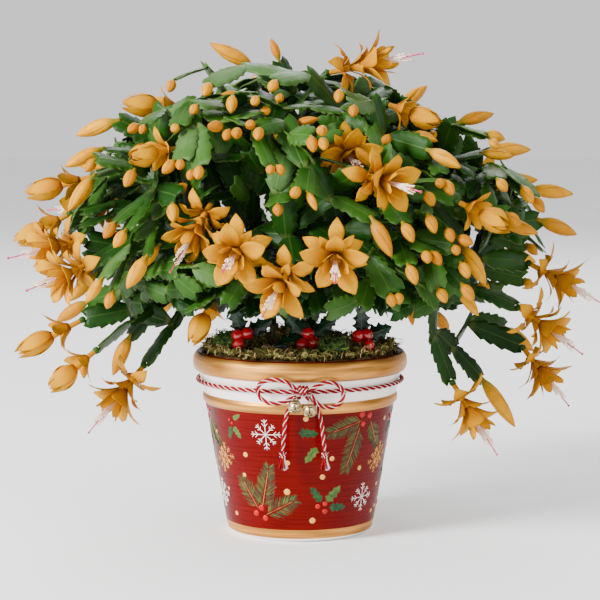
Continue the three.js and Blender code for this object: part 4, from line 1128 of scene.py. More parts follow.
def look_bells():
    look = Look("aged_brass", Metallic=1.0)
    patina = look.noise(look.object, 220, 0.35, 0.7)
    look.colour(look.mix(patina, tone(216, 196, 150), tone(112, 92, 58)))
    look.rough(look.spread(patina, 0, 1, 0.22, 0.46))
    look.bump(look.noise(look.object, 600), 0.12, 0.3)


# ---- sizes and colours that a user may change ----

def colour_property(name, description, default):
    return bpy.props.FloatVectorProperty(name=name, description=description, subtype="COLOR", size=4,
                                         min=0.0, max=1.0, default=default)


class CactusPlantSettings(bpy.types.PropertyGroup):
    # Pads are tinted by how deep they lie in the plant, not by age: the darkest green is painted shade on the
    # deepest pads, and the light and grey greens go on the outer ones.
    pad_painted_shade: colour_property("Dark pads", "Green of the deepest pads", tone(6, 26, 1))
    pad_middle: colour_property("Middle pads", "Green of most pads", tone(16, 52, 4))
    pad_light: colour_property("Light pads", "Green of young pads", tone(42, 78, 16))
    pad_grey: colour_property("Grey pads", "Green of the dullest outer pads", tone(74, 102, 58))
    petal: colour_property("Petals", "Colour of the middle of a petal", tone(186, 120, 0))
    petal_light: colour_property("Light petals", "Colour of the lightest part of a petal", tone(204, 142, 0))
    filler_rounds: bpy.props.IntProperty(
        name="Filler rounds", description="How often the free pad ends grow on", default=5, min=0, max=5)


class CactusPotSettings(bpy.types.PropertyGroup):
    glaze_dark: colour_property("Dark glaze", "Dark streaks of the body's glaze", tone(64, 0, 0))
    glaze_light: colour_property("Light glaze", "Light streaks of the body's glaze", tone(100, 0, 1))
    gold: colour_property("Gold", "Colour of the gold bands", tone(230, 162, 72))
    cream: colour_property("Cream", "Colour of the collar and the foot line", tone(250, 238, 230))


class CactusTrimSettings(bpy.types.PropertyGroup):
    cord_red: colour_property("Red yarn", "Colour of the cord's red yarn", tone(162, 0, 12))
    cord_white: colour_property("White yarn", "Colour of the cord's white yarn", tone(244, 236, 232))
    curls: bpy.props.IntProperty(
        name="Moss curls", description="How many curls of moss lie on the mat", default=3600, min=0, max=5000)


# ---- pieces ----

class CACTUS_OT_stage(bpy.types.Operator):
    """Adds the camera, a pale floor and soft studio light"""
    bl_idname = "cactus.stage"
    bl_label = "Stage"

    def execute(self, context):
        data = bpy.data.cameras.new("camera")
        data.sensor_width, data.lens = 36, CAMERA_LENS
        context.scene.camera = self.stand("camera", data, CAMERA_AT, CAMERA_AIM)
        bm = bmesh.new()
        bmesh.ops.create_grid(bm, x_segments=1, y_segments=1, size=FLOOR_HALF)
        floor = link("floor", keep(bm, "floor"))
        look = mottled("floor_white", (0.6,), (244, 244, 244), (247, 247, 247), Roughness=0.9)
        floor.data.materials.append(look.material)
        world = bpy.data.worlds.new("studio")
        world.use_nodes = True
        sky = world.node_tree.nodes["Background"]
        sky.inputs["Color"].default_value = (1, 1, 1, 1)
        sky.inputs["Strength"].default_value = SKY
        context.scene.world = world
        for name, spot, power, wide in LAMPS:
            light = bpy.data.lights.new(name, "AREA")
            light.energy, light.size = power, wide
            self.stand(name, light, spot, LAMP_AIM)
        return {"FINISHED"}

    def stand(self, name, data, spot, aim):
        """Puts a camera or lamp at a spot and turns it to what it looks at."""
        piece = link(name, data)
        piece.location = spot
        piece.rotation_euler = (Vector(aim) - Vector(spot)).to_track_quat("-Z", "Y").to_euler()
        return piece


def rope(sculpt, tube, path, hint, radius=CORD_RADIUS, lay=CORD_LAY):
    """Four strands, red and white by turns, laid round a path. The white ones lie in the grooves."""
    lengths = running_lengths(path)
    for k in range(4):
        thick, away = STRANDS[k % 2]

        def offset(i, centre, side, over, k=k, out=away * radius):
            angle = math.tau * (lengths[i] / lay + k / 4)
            return add(add(centre, side, out * math.cos(angle)), over, out * math.sin(angle))
        sweep(sculpt, tube, path, hint, thick * radius, 0.2 * k, k % 2, offset)


class CACTUS_OT_cord(bpy.types.Operator):
    """Lays the twisted cord: the band, the knot, two loops, and two tails with their end knots and tassels"""
    bl_idname = "cactus.cord"
    bl_label = "Cord and bow"

    def execute(self, context):
        look_cord(context.scene.cactus_trim)
        ring = [(*polar(BAND_RADIUS, math.tau * k / BAND_STEPS), BAND_Z) for k in range(BAND_STEPS + 1)]
        band = Sculpt()
        rope(band, tube_template("band_strand", 6, BAND_STEPS), ring, (0, 0, 1),
             lay=math.tau * BAND_RADIUS / BAND_TWISTS)
        band.finish("twisted_band", "twisted_cord", YARNS, ["cord_band"], MERGE_CORD)
        x, y, z = KNOT_MIDDLE
        wrap = []
        for k in range(KNOT_STEPS + 1):
            angle = math.tau * KNOT_TURNS * k / KNOT_STEPS + 0.4
            wrap.append((x - KNOT_SPAN / 2 + KNOT_SPAN * k / KNOT_STEPS, y - KNOT_DEPTH * math.cos(angle),
                         z + KNOT_RISE * math.sin(angle)))
        knot = Sculpt()
        rope(knot, tube_template("knot_strand", 6, KNOT_STEPS), wrap, (1, 0, 0), lay=KNOT_LAY)
        knot.finish("tied_knot", "twisted_cord", YARNS, ["bow_knot"], MERGE_CORD)
        for name, points in (("left", LEFT_LOOP), ("right", RIGHT_LOOP)):
            piece, path, length = self.lay_length("loop", name, points)
            tuple(to_metres(path[0]))
            [tuple(to_metres(p)) for p in path]
        for name, points in (("left", LEFT_TAIL), ("right", RIGHT_TAIL)):
            piece, path, length = self.lay_length("tail", name, points)
            tassel = self.make_tassel(name, points[-1])
            tuple(to_metres(path[0]))
            [tuple(to_metres(p)) for p in path]
        return {"FINISHED"}

    def lay_length(self, kind, name, points):
        """A loop or a tail along its way: the piece, its path and its length."""
        path, length = even_path(smooth_path(points, 14), 1.4)
        strands = Sculpt()
        rope(strands, tube_template(f"{kind}_strand_{name}", 6, len(path) - 1), path, (0, 1, 0))
        name = f"{kind}_{name}"
        piece = strands.finish(f"twisted_{name}", "twisted_cord", YARNS, [f"bow_{name}"], MERGE_CORD)
        return piece, path, length

    def make_tassel(self, name, end):
        """The knot at a tail's end, and the yarns that flare out under it."""
        x, y, z = end
        middle = z - TAIL_KNOT_RADIUS - GAP
        tassel = Sculpt()
        wrap = []
        for k in range(END_KNOT_STEPS + 1):
            angle = math.tau * END_KNOT_TURNS * k / END_KNOT_STEPS
            rise = 2.0 - TAIL_KNOT_RADIUS * k / END_KNOT_STEPS + 0.7 * math.sin(2 * angle)
            wrap.append(add((x, y, middle), (*polar(END_KNOT_RADIUS, angle), rise)))
        rope(tassel, tube_template(f"end_knot_{name}", 6, END_KNOT_STEPS), wrap, (0, 0, 1),
             radius=END_KNOT_CORD, lay=END_KNOT_LAY)
        yarn = tube_template(f"yarn_{name}", 5, TUBE_STEPS)
        for k in range(TASSEL_YARNS):
            angle = math.tau * k / TASSEL_YARNS + 0.15 * draw(k + 60)
            out = 0.35 + 0.65 * abs(draw(k + 90))
            flare, drop = TASSEL_FLARE * out, TASSEL_DROP + 1.2 * draw(k + 130)
            path = []
            for step in range(TUBE_STEPS + 1):
                t = step / TUBE_STEPS
                away = (1.0 + (flare - 1.0) * t ** 1.4) * (0.6 + 0.4 * out)
                path.append(add((x, y, middle), (*polar(away, angle), -0.6 - drop * t)))
            white = math.cos(angle - 0.6) > 0
            sweep(tassel, yarn, path, (1, 0, 0), YARN_RADIUS, 0.3 * draw(k), 1 if white else 0)
        return tassel.finish(f"yarn_tassel_{name}", "twisted_cord", YARNS, [f"tassel_{name}"], MERGE_CORD)


class CACTUS_OT_bells(bpy.types.Operator):
    """Makes the two round bells with their crossed slots, lugs and pellets"""
    bl_idname = "cactus.bells"
    bl_label = "Bells"

    def execute(self, context):
        look_bells()
        ball = round_template("pellet", [(math.sin(math.pi * k / 10), -math.cos(math.pi * k / 10))
                                         for k in range(11)], 16)
        shell = self.make_shell()
        for name, middle, rise in BELLS:
            bell = Sculpt()
            bell.stamp(shell, frame_at(middle, *BELL_TURN))
            x, y, z = middle
            top = z + BELL_RADIUS
            lug = [(x + LUG_RADIUS * math.cos(a), y, top + LUG_RISE + LUG_RADIUS * math.sin(a))
                   for a in (math.tau * k / 24 for k in range(25))]
            sweep(bell, tube_template(f"lug_{name}", 8, 24), lug, (0, 1, 0), LUG_WIRE)
            if rise > 2:
                hook = straight_path((x, y, top + 2.0), (x, y + 0.4, top + rise - 0.4), TUBE_STEPS)
                sweep(bell, tube_template("hook", 8, TUBE_STEPS), hook, (0, 1, 0), 0.6)
            bell.finish(f"round_bell_{name}", "aged_brass", ["aged_brass"], [f"bell_{name}"], MERGE_BELL)
            pellet = Sculpt()
            low = (x, y, z - BELL_RADIUS + BELL_WALL + PELLET_RADIUS + 2 * GAP)
            pellet.stamp(ball, lambda co, at=low: add(at, times(co, PELLET_RADIUS)))
            pellet.finish(f"loose_pellet_{name}", "aged_brass", ["aged_brass"], [f"bell_pellet_{name}"])
        return {"FINISHED"}

    def make_shell(self):
        """A hollow ball with two crossed slots under it and a raised seam round it."""
        bm = bmesh.new()
        bmesh.ops.create_uvsphere(bm, u_segments=BELL_SIDES, v_segments=32, radius=BELL_RADIUS)
        half = BELL_SLOT / 2
        cuts = [(Vector(way) * half, way) for way in ((1, 0, 0), (-1, 0, 0), (0, 1, 0), (0, -1, 0))]
        for spot, way in [*cuts, ((0, 0, BELL_SLOT_TOP), (0, 0, 1))]:
            geom = bm.verts[:] + bm.edges[:] + bm.faces[:]
            bmesh.ops.bisect_plane(bm, geom=geom, plane_co=spot, plane_no=way)
        slots = []
        for face in bm.faces:
            at = face.calc_center_median()
            if at.z < BELL_SLOT_TOP and min(abs(at.x), abs(at.y)) < half:
                slots.append(face)
        bmesh.ops.delete(bm, geom=slots, context="FACES")
        bmesh.ops.solidify(bm, geom=bm.faces, thickness=BELL_WALL)
        inner, outer = BELL_RADIUS - 0.2, BELL_RADIUS + 0.3
        seam = ((inner, -0.7), (outer, -0.35), (outer, 0.35), (inner, 0.7))
        turn_profile(bm, seam, BELL_SIDES, closed=True)
        bmesh.ops.remove_doubles(bm, verts=bm.verts, dist=1e-4)
        face_outward(bm)
        return keep(bm, "bell_shell")


def rounded(profile, steps=4, share=0.32, limit=2.2):
    """A profile with each corner eased into a short curve."""
    eased = [profile[0]]
    for before, here, after in zip(profile, profile[1:], profile[2:]):
        a, b = ((before[0] - here[0], before[1] - here[1]), (after[0] - here[0], after[1] - here[1]))
        reach = min(limit, share * math.hypot(*a), share * math.hypot(*b))
        start = tuple(here[i] + a[i] * reach / math.hypot(*a) for i in (0, 1))
        stop = tuple(here[i] + b[i] * reach / math.hypot(*b) for i in (0, 1))
        for k in range(steps + 1):
            t = k / steps
            eased.append(tuple(start[i] * (1 - t) ** 2 + 2 * here[i] * t * (1 - t) + stop[i] * t ** 2
                               for i in (0, 1)))
    return eased + [profile[-1]]


class CACTUS_OT_pot(bpy.types.Operator):
    """Turns the glazed pot and glazes its bands"""
    bl_idname = "cactus.pot"
    bl_label = "Pot"

    def execute(self, context):
        look_pot(context.scene.cactus_pot)
        profile = rounded([(0, 0), *POT_OUTSIDE, *POT_INSIDE, (0, POT_FLOOR_TOP)])
        pot = Sculpt()
        pot.stamp(round_template("pot_turned", profile, POT_SIDES), lambda co: co)
        for face in pot.bm.faces:
            middle = face.calc_center_median() / MM
            outward = face.normal.dot(Vector((middle.x, middle.y, 0))) > 0
            face.material_index = self.pick_glaze(outward, middle.z)
        pot.finish("glazed_pot", "red_glaze", ["red_glaze", "pot_gold", "pot_cream"], ["pot"])
        return {"FINISHED"}

    def pick_glaze(self, outward, z):
        """Red is 0, gold is 1 and cream is 2."""
        if not outward and z > UNDERSIDE_TOP:
            return 0
        if z < FOOT_LINE_TOP or BEAD_HIGH < z < RECESS_HIGH:
            return 2
        return 1 if z < BASE_BAND_TOP or BEAD_LOW < z < RIM_CREST else 0


def on_pot(spot, x, y, lift):
    """The place x along and y up the pot's side from a (heading, height), raised by lift."""
    slope = (BODY_HIGH[0] - BODY_LOW[0]) / (BODY_HIGH[1] - BODY_LOW[1])
    run = math.hypot(1, slope)
    z = spot[1] + y / run
    radius = BODY_LOW[0] + (z - BODY_LOW[1]) * slope
    angle = math.radians(spot[0] - 90) + x / radius
    return (*polar(radius + lift / run, angle), z - lift * slope / run)


class CACTUS_OT_motifs(bpy.types.Operator):
    """Paints snowflakes, dots, holly and pine sprigs round the pot"""
    bl_idname = "cactus.motifs"
    bl_label = "Painted motifs"

    def execute(self, context):
        look_paints()
        self.stroke = self.make_patch("stroke", [(0, 0.5), (0.12, 0.85), (0.5, 1), (0.88, 0.85), (1, 0.5)])
        self.needle = self.make_patch("needle_patch", [(0, 0.8), (0.4, 1), (0.8, 0.6), (1, 0.05)])
        self.leaf = self.make_patch("leaf_patch", [
            (0, 0.06), (0.12, 0.5), (0.22, 1), (0.32, 0.62), (0.45, 0.95), (0.58, 0.58), (0.7, 0.76),
            (0.84, 0.34), (1, 0.02)])
        button = [(0, -0.12), (1, -0.12), (0.8, 0.18), (0.5, 0.28), (0, 0.32)]
        self.disc = round_template("disc_patch", button, 20)
        flakes, plants = Sculpt(), Sculpt()
        for turn_by in MOTIF_TURNS:
            self.paint(flakes, plants, turn_by)
        flakes.finish("painted_snow", "red_glaze", ["paint_white", "paint_gold"])
        plants.finish("painted_sprigs", "red_glaze",
                      ["paint_leaf", "paint_leaf_light", "paint_needle", "paint_twig", "paint_berry"])
        return {"FINISHED"}

    def make_patch(self, name, rows):
        """A raised patch with its rim just under the glaze: x across, y along, z its height."""
        last = len(rows) - 1
        bm = grid(2, last)
        for vert in bm.verts:
            row = round(vert.co.y * last)
            along, half = rows[row]
            inner = abs(vert.co.x) < 0.5 and 0 < row < last
            vert.co = (vert.co.x * half, along, 0.24 if inner else -0.12)
        face_outward(bm)
        return keep(bm, name)

    def lay(self, sculpt, template, spot, start, angle, length, width, material, rise=1.0):
        """Stamps a patch that starts at this (x, y) from a motif's middle and runs on at an angle."""
        (x, y), (c, s) = start, polar(1, math.radians(angle))

        def move(co):
            across, along = co[0] * width / 2, co[1] * length
            return on_pot(spot, x + c * along - s * across, y + s * along + c * across, co[2] * rise)
        sculpt.stamp(template, move, 0, material)

    def dot(self, sculpt, spot, radius, material, rise=1.0):
        move = lambda co: on_pot(spot, co[0] * radius, co[1] * radius, co[2] * rise)
        sculpt.stamp(self.disc, move, 0, material)

    def flake(self, sculpt, spot, radius, material, wide):
        """Four long and four shorter arms, each with two pairs of barbs."""
        for k in range(8):
            angle = 45 * k + 2
            reach = radius if k % 2 == 0 else radius * 0.84
            self.lay(sculpt, self.stroke, spot, (0, 0), angle, reach, wide, material)
            for share, arm in ((0.5, 0.26), (0.74, 0.24)):
                start = polar(reach * share, math.radians(angle))
                for lean in (-48, 48):
                    self.lay(sculpt, self.stroke, spot, start, angle + lean, reach * arm, wide * 0.85,
                             material, 1.1)
        self.dot(sculpt, spot, wide * 1.1, material, 1.2)

    def sprig(self, sculpt, spot, angle, length):
        """A twig with a pair of needles for each millimetre of it, and one at its tip."""
        self.lay(sculpt, self.stroke, spot, (0, 0), angle, length * 0.93, 0.8, 3, 1.3)
        needle = 14.5 if length > 32 else 12.5
        for k in range(length):
            start = polar(length * (0.1 + 0.86 * k / length), math.radians(angle))
            reach = needle * (1 - 0.5 * (k / length) ** 2) * (0.7 + 0.3 * min(1, k / 5))
            for side in (-1, 1):
                lean = side * (54 - 18 * k / length + 7 * draw(k * 3 + side + int(spot[0])))
                green = 1 if draw(k * 5 + side + int(spot[1])) > 0.45 else 2
                longer = 1 + 0.12 * draw(k * 7 + side)
                self.lay(sculpt, self.needle, spot, start, angle + lean, reach * longer, 0.95, green,
                         1.0 + 0.2 * (k % 2))
        tip = polar(length * 0.93, math.radians(angle))
        self.lay(sculpt, self.needle, spot, tip, angle, 6, 0.8, 2)

    def paint(self, flakes, plants, turn_by):
        for material, spots, wide in ((0, WHITE_FLAKES, 0.95), (1, GOLD_FLAKES, 0.62)):
            for heading, height, radius in spots:
                self.flake(flakes, (heading + turn_by, height), radius, material, wide)
        for heading, height, radius in DOTS:
            if turn_by == 0 or abs(heading) < 60:
                self.dot(flakes, (heading + turn_by, height), radius, 1)
        for heading, height, angle, length in SPRIGS:
            self.sprig(plants, (heading + turn_by, height), angle, length)
        for k, (heading, height, angle, length) in enumerate(LEAVES):
            spot = (heading + turn_by, height)
            self.lay(plants, self.leaf, spot, (0, 0), angle, length * 1.04, length * 0.72, k % 2, 1.3)
            self.lay(plants, self.stroke, spot, (0, 0), angle, length * 0.85, 0.9, 1 - k % 2, 2.4)
        for heading, height, radius in PAINTED_BERRIES:
            self.dot(plants, (heading + turn_by, height), radius, 4, 2.6)


def moss_height(x, y):
    """The mat's top: heaped in the middle, with a lip at the rim, and uneven all over."""
    share = min(1, math.hypot(x, y) / MOSS_RADIUS)
    bumps = (math.sin(x * 0.21 + y * 0.07) + math.sin(y * 0.19 - x * 0.11 + 1.7)) * 0.5
    heap = MOSS_RIM + (MOSS_TOP - MOSS_RIM) * (1 - share) ** 1.6 + MOSS_LIP * max(0, share - 0.8) / 0.2
    return SOIL_TOP + heap + MOSS_ROUGH * bumps * (1 - 0.6 * share)


def solid_of(node):
    """The frame's own object for a node."""
    return next(piece for piece in bpy.data.objects
                if piece.name == node or piece.name.startswith(node + "."))


class CACTUS_OT_moss(bpy.types.Operator):
    """Lays potting soil, a mat of curled moss, bright tufts and loose twigs in the pot"""
    bl_idname = "cactus.moss"
    bl_label = "Moss and soil"

    def execute(self, context):
        look_moss()
        soil = solid_of("soil")
        soil.data.materials.clear()
        soil.data.materials.append(LOOKS["potting_soil"])
        mat = Sculpt()
        profile = [(MOSS_RADIUS * k / MAT_ROWS, 1.0) for k in range(MAT_ROWS + 1)]
        disc = round_template("moss_disc", profile + [(MOSS_RADIUS - 0.8, 0.0), (0.0, 0.0)], MAT_SIDES)
        # The mat takes the darkest moss colour, as painted shade in the gaps between the curls.
        mat.stamp(disc, self.lay_mat, -0.9, 0)
        curl = tube_template("moss_curl", 3, CURL_STEPS)
        for k in range(context.scene.cactus_trim.curls):
            share, around = abs(draw(k * 5 + 1)), math.pi * draw(k * 5 + 2)
            radius = CURL_REACH * math.sqrt(share if k % 5 else 0.88 + 0.12 * share)
            x, y = polar(radius, around)
            self.curl(mat, curl, (x, y, moss_height(x, y) - 0.6), k, 1 if draw(k * 5 + 3) > -0.2 else 0)
        mat.finish("curled_moss", "moss", ["moss_brown", "moss_olive"], ["moss_mat"])
        for name, spot, radius in TUFTS:
            self.make_tuft(name, spot, radius, curl)
        self.make_twigs()
        return {"FINISHED"}

    def lay_mat(self, co):
        """The mat's rough top, sunk under the curls near the rim, over its flat underside."""
        if co.z < 0.5:
            return (co.x, co.y, SOIL_TOP + GAP)
        rough = 1.1 * draw(round(co.x * 3.1) * 37 + round(co.y * 2.9))
        sunk = MOSS_LIP * max(0, math.hypot(co.x, co.y) / MOSS_RADIUS - 0.84) / 0.16
        return (co.x, co.y, moss_height(co.x, co.y) - sunk + rough)

    def make_tuft(self, name, spot, radius, curl):
        """A rough ball with short curls all over its top."""
        (x, y), foot, tuft = spot, moss_height(*spot), Sculpt()
        ball = round_template(f"tuft_{name}", [
            (radius * 0.86 * math.sin(math.pi * k / 12), -radius * 0.62 * math.cos(math.pi * k / 12))
            for k in range(13)], 20)

        def lump(co):
            rough = 0.8 * draw(round(co.x * 5 + co.y * 11 + co.z * 7))
            return (x + co.x, y + co.y, foot + GAP + 0.5 * radius + co.z + rough)
        # The ball takes the darkest moss colour, as painted shade under its curls.
        tuft.stamp(ball, lump, -0.9, 0)
        for k in range(TUFT_CURLS):
            way = way_out(math.pi * draw(k + 3000), math.asin(0.1 + 0.9 * abs(draw(k + 2000))))
            base = (x + way[0] * radius * 0.84, y + way[1] * radius * 0.84,
                    foot + 0.5 * radius + way[2] * radius * 0.6)
            self.curl(tuft, curl, base, k + 4000, 0, way)
        tuft.finish(f"green_tuft_{name}", "moss_green", ["moss_green"], [f"moss_tuft_{name}"])

    def curl(self, sculpt, template, base, seed, material, way=(0, 0, 1)):
        """One short curled strand of moss."""
        lean = unit(add(way, (draw(seed * 3 + 11), draw(seed * 3 + 12), 0.25 * draw(seed * 3 + 13))))
        side = square_to(lean, (draw(seed + 5), draw(seed + 6), 0.4))
        over = cross(lean, side)
        length, bend = 9 + 4 * draw(seed + 7), 3.4 + 1.9 * draw(seed + 8)
        path = []
        for k in range(CURL_STEPS + 1):
            t = k / CURL_STEPS
            spot = add(base, lean, length * math.sin(bend * t) / bend)
            spot = add(spot, side, length * (1 - math.cos(bend * t)) / bend)
            path.append(add(spot, over, 1.1 * math.sin(3 * t + seed)))
        sweep(sculpt, template, path, over, lambda t: 0.72 * (1 - 0.55 * t), draw(seed + 9), material)

    def make_twigs(self):
        """Brown twigs that lie on the moss, and thin wisps of it that stand over the rim."""
        twigs = Sculpt()
        template = tube_template("twig", 5, TWIG_STEPS)
        for k in range(TWIGS):
            heading = math.radians(-90 + 150 * draw(k * 9 + 1)) if k < 5 else math.pi * draw(k)
            radius = 56 + 26 * abs(draw(k * 9 + 2))
            x, y = polar(radius, heading)
            low = moss_height(x, y) + 1.6
            along = heading + math.pi / 2 * (1 if draw(k * 9 + 3) > 0 else -1) + 0.9 * draw(k * 9 + 4)
            run, lift = 9 + 6 * abs(draw(k * 9 + 5)), 6 + 6 * abs(draw(k * 9 + 6))
            path = []
            for i in range(TWIG_STEPS + 1):
                t = i / TWIG_STEPS
                spin = along + 2.2 * t * draw(k * 9 + 7) + 0.5 * math.sin(7 * t + k)
                spot = add((x, y, 0), (*polar(run * t, spin), 0))
                rise = lift * math.sin(math.pi * t) + 1.2 * math.sin(9 * t + k)
                path.append(add(times(spot, min(1, TWIG_REACH / size(spot))), (0, 0, low + rise)))
            sweep(twigs, template, path, (0, 0, 1), lambda t: 0.42 * (1 - 0.5 * t), draw(k), 0)
        for k in range(WISPS):
            heading = math.radians((168 if k % 2 else 12) + 24 * draw(k * 7 + 900))
            rise, wander = 15 + 5 * draw(k * 7 + 901), 0.1 * draw(k * 7 + 902)
            path = []
            for i in range(TWIG_STEPS + 1):
                t = i / TWIG_STEPS
                radius = WISP_FOOT[0] + (13 + 5 * draw(k * 7 + 903)) * t
                angle = heading + wander * t + 0.05 * math.sin((5 + 2 * draw(k * 7 + 904)) * t + k)
                up = WISP_FOOT[1] + rise * t - 6 * t ** 3 + 1.6 * math.sin(6 * t + k)
                path.append((*polar(radius, angle), up))
            sweep(twigs, template, path, (0, 0, 1), lambda t: 0.5 * (1 - 0.6 * t), 0.9 * draw(k + 40), k % 3)
        twigs.finish("loose_twigs", "moss", ["twig_brown", "moss_olive", "moss_green"])


class CACTUS_OT_holly(bpy.types.Operator):
    """Stands three holly picks in the moss: spiny leaves and glossy berries on wires"""
    bl_idname = "cactus.holly"
    bl_label = "Holly picks"

    def execute(self, context):
        look_holly()
        leaf = blade_template("holly_leaf", subdivide(HOLLY_OUTLINE, 0.035, 1.3), 6)
        berry = round_template("holly_berry", [
            (math.sin(a) * (1 - 0.05 * (a > 2.7)), 0.07 * (a > 3.1) - math.cos(a))
            for a in (math.pi * k / 20 for k in range(21))], 32)  # drawn in to a dimple at its end
        tube = tube_template("pick_wire_tube", 6, 10)
        for name, berries, leaves in PICKS:
            blades = Sculpt()
            for k, (start, end) in enumerate(leaves):
                axis = unit(sub(end, start))
                across = square_to(axis, cross((0, -1, 0.25), axis))
                normal = unit(cross(across, axis))
                span, half = size(sub(end, start)), HOLLY_WIDTH / 2

                def move(co, start=start, axis=axis, across=across, normal=normal, span=span, half=half, k=k):
                    fold = 0.26 * abs(co.x) ** 1.5 * half
                    wave = 1.5 * math.sin(co.y * 15 + k) * co.x ** 2
                    spot = add(add(start, axis, co.y * span), across, co.x * half)
                    return add(spot, normal, fold + wave - 3.0 * co.y ** 2 + co.z * 0.32)
                blades.stamp(leaf, move)
                stalk = straight_path(add(start, axis, -3), add(start, axis, 2), 10)
                sweep(blades, tube, stalk, (0, 0, 1), 0.7, 0, 1)
            foot = self.find_foot(berries)
            for start, _ in leaves:
                wire = straight_path(add(foot, (0.8, 1.6, 0)), start, 10)
                sweep(blades, tube, wire, (0, 1, 0), WIRE_RADIUS, 0, 1)
            blades.finish(f"spiny_leaves_{name}", "holly_green", ["holly_green", "pick_wire"],
                          [f"holly_leaves_{name}"])
            cluster = Sculpt()
            for k, spot in enumerate(berries):
                tilt = unit((0.3 * draw(k + 5), -0.4, 1))
                turned = frame_at(spot, tilt, square_to(tilt, (1, 0, 0)))
                cluster.stamp(berry, lambda co, turned=turned: turned(co, BERRY_RADIUS))
                wire = straight_path(foot, add(spot, tilt, -BERRY_RADIUS + 0.4), 10)
                sweep(cluster, tube, wire, (0, 1, 0), WIRE_RADIUS, 0, 1)
            cluster.finish(f"glossy_berries_{name}", "berry_red", ["berry_red", "pick_wire"],
                           [f"holly_berries_{name}"])
        return {"FINISHED"}

    def find_foot(self, berries):
        """Where a pick goes into the moss, a little behind its berries."""
        x, y = (sum(spot[i] for spot in berries) / len(berries) for i in (0, 1))
        return (x, y + 3, moss_height(x, y + 3) - 6)


class Foliage:
    """The finer plant: the plain model's own pads, then smaller chains in the places left free."""

    def __init__(self):
        self.plant = grow_plant()
        self.extra = []
        self.add_small_buds()
        self.fill_gaps()

    def near_front(self, across, up):
        """The depth at which a sight line meets the front of the dome, a little within it."""
        share = 1 - (across / DOME_HALF[0]) ** 2 - ((up - DOME_CENTRE[2]) / DOME_HALF[2]) ** 2
        return -DOME_HALF[1] * 0.93 * math.sqrt(max(0.02, share))

    def add_small_buds(self):
        """Grows chains to the small buds of the front and back, or seats those on pads already there."""
        plant, wanted = self.plant, []
        for across, up, length in EXTRA_BUDS:
            base = place((across, up, self.near_front(across, up)))
            wanted.append((base, length if length > 16 else 1.35 * length))
        for k in range(CHAINS_BACK):
            heading, rise = 6 + 168 * (k + 0.5) / CHAINS_BACK, 24 + 30 * draw(k * 3 + 41)
            base, _ = place_on_back((heading, rise), 20, 0.97)
            wanted.append((base, 16 + 6 * draw(k * 3 + 42)))
        for k, (base, length) in enumerate(wanted):
            out = unit(sub(base, DOME_CENTRE))
            axis = unit(add(out, (0.3 * draw(k + 700), 0.3 * draw(k + 710), -1.25)))
            flower = make_flower("bud", FIRST_SMALL_BUD + k, base, add(base, axis, length))
            box = flower_boxes(flower)[0]
            joint = None if plant["space"].hits(box) else choose_joint(plant, flower)
            if joint and grow_chain(joint, flower, plant, forced=False):
                self.keep_bud(flower, box, joint)
            else:
                self.seat_on_pad(base, length, k)

    def keep_bud(self, flower, box, joint):
        flower["stem"] = joint["stem"]
        self.plant["space"].append(dict(box, owner=joint["stem"]))
        self.extra.append(flower)

    def seat_on_pad(self, wish, length, k):
        """Puts a bud at the end of a pad already there, the one nearest to where it is wanted."""
        ends = [joint for joint in self.plant["joints"] if "box" in joint and joint.get("buds", 0) < 2]
        for joint in sorted(ends, key=lambda joint: size(sub(joint["point"], wish)))[:SEAT_TRIES]:
            out = unit(sub(joint["point"], DOME_CENTRE))
            for slot in (0.28, -0.28) if draw(k + 740) > 0 else (0,):
                axis = unit(add(add(joint["way"], joint["across"], 2 * slot), out, 0.7))
                axis = unit(add(axis, (0.2 * draw(k + 720), 0.2 * draw(k + 730), -0.5)))
                base = add(add(joint["point"], joint["way"], -0.5), joint["across"], slot * joint["width"])
                flower = make_flower("bud", FIRST_SMALL_BUD + k, base, add(base, axis, length))
                box = flower_boxes(flower)[0]
                if all(other is joint["box"] for other in self.plant["space"].hits(box)):
                    joint["buds"] = joint.get("buds", 0) + 1
                    self.keep_bud(flower, box, joint)
                    return

    def fill_gaps(self):
        """Lets free pad ends grow on, inside the dome and clear of the pot."""
        plant = self.plant
        for k in range(bpy.context.scene.cactus_plant.filler_rounds):
            for n, joint in enumerate(list(plant["joints"])):
                for slot in list(joint["slots"])[:2]:
                    self.grow_on(joint, slot, 9000 + 977 * k + 31 * n + 3 * slot)

    def grow_on(self, joint, slot, seed):
        """Tries a few ways and sizes for one more pad at a free place."""
        plant = self.plant
        out = unit(sub(joint["point"], DOME_CENTRE))
        side = joint.get("across", (1, 0, 0))
        start = root_at(joint, side, slot)
        for k, (spread, lift, share) in enumerate(FILLER_WAYS):
            way = add(add(joint["way"], side, spread * slot + 0.3 * draw(seed + k)), out,
                      lift + 0.25 * draw(seed + 50 + k))
            way = unit(add(unit(way), (0, 0, -FILLER_DROOP)))
            end = add(start, way, PAD_LENGTH * (share + 0.1 * draw(seed + 100 + k)))
            if not self.allowed(end):
                continue
            pad = fit_pad(start, end, PAD_WIDTH * (0.84 + 0.1 * draw(seed + 3)), PAD_THICKNESS, seed,
                          joint, plant["space"])
            if pad:
                joint["slots"] = [other for other in joint["slots"] if other != slot]
                add_pad(plant, pad, [1, -1])
                return

    def allowed(self, spot):
        """Whether a filler pad may end here: within the dome, over the holly and clear of the fringe."""
        share = sum(((spot[i] - DOME_CENTRE[i]) / (DOME_HALF[i] * FILLER_SHARE[i])) ** 2 for i in range(3))
        k = EYE_DISTANCE / (EYE_DISTANCE + spot[1])
        across, up = abs(spot[0] * k), EYE_HEIGHT + (spot[2] - EYE_HEIGHT) * k
        past = across - FRINGE_START
        fringe = past > 0 and up < FRINGE_HEIGHT - 0.5 * past and spot[1] < FRINGE_DEPTH
        return share < 1 and up > (SKIRT_LOW if across < SKIRT_MIDDLE else SKIRT_SIDE) and not fringe


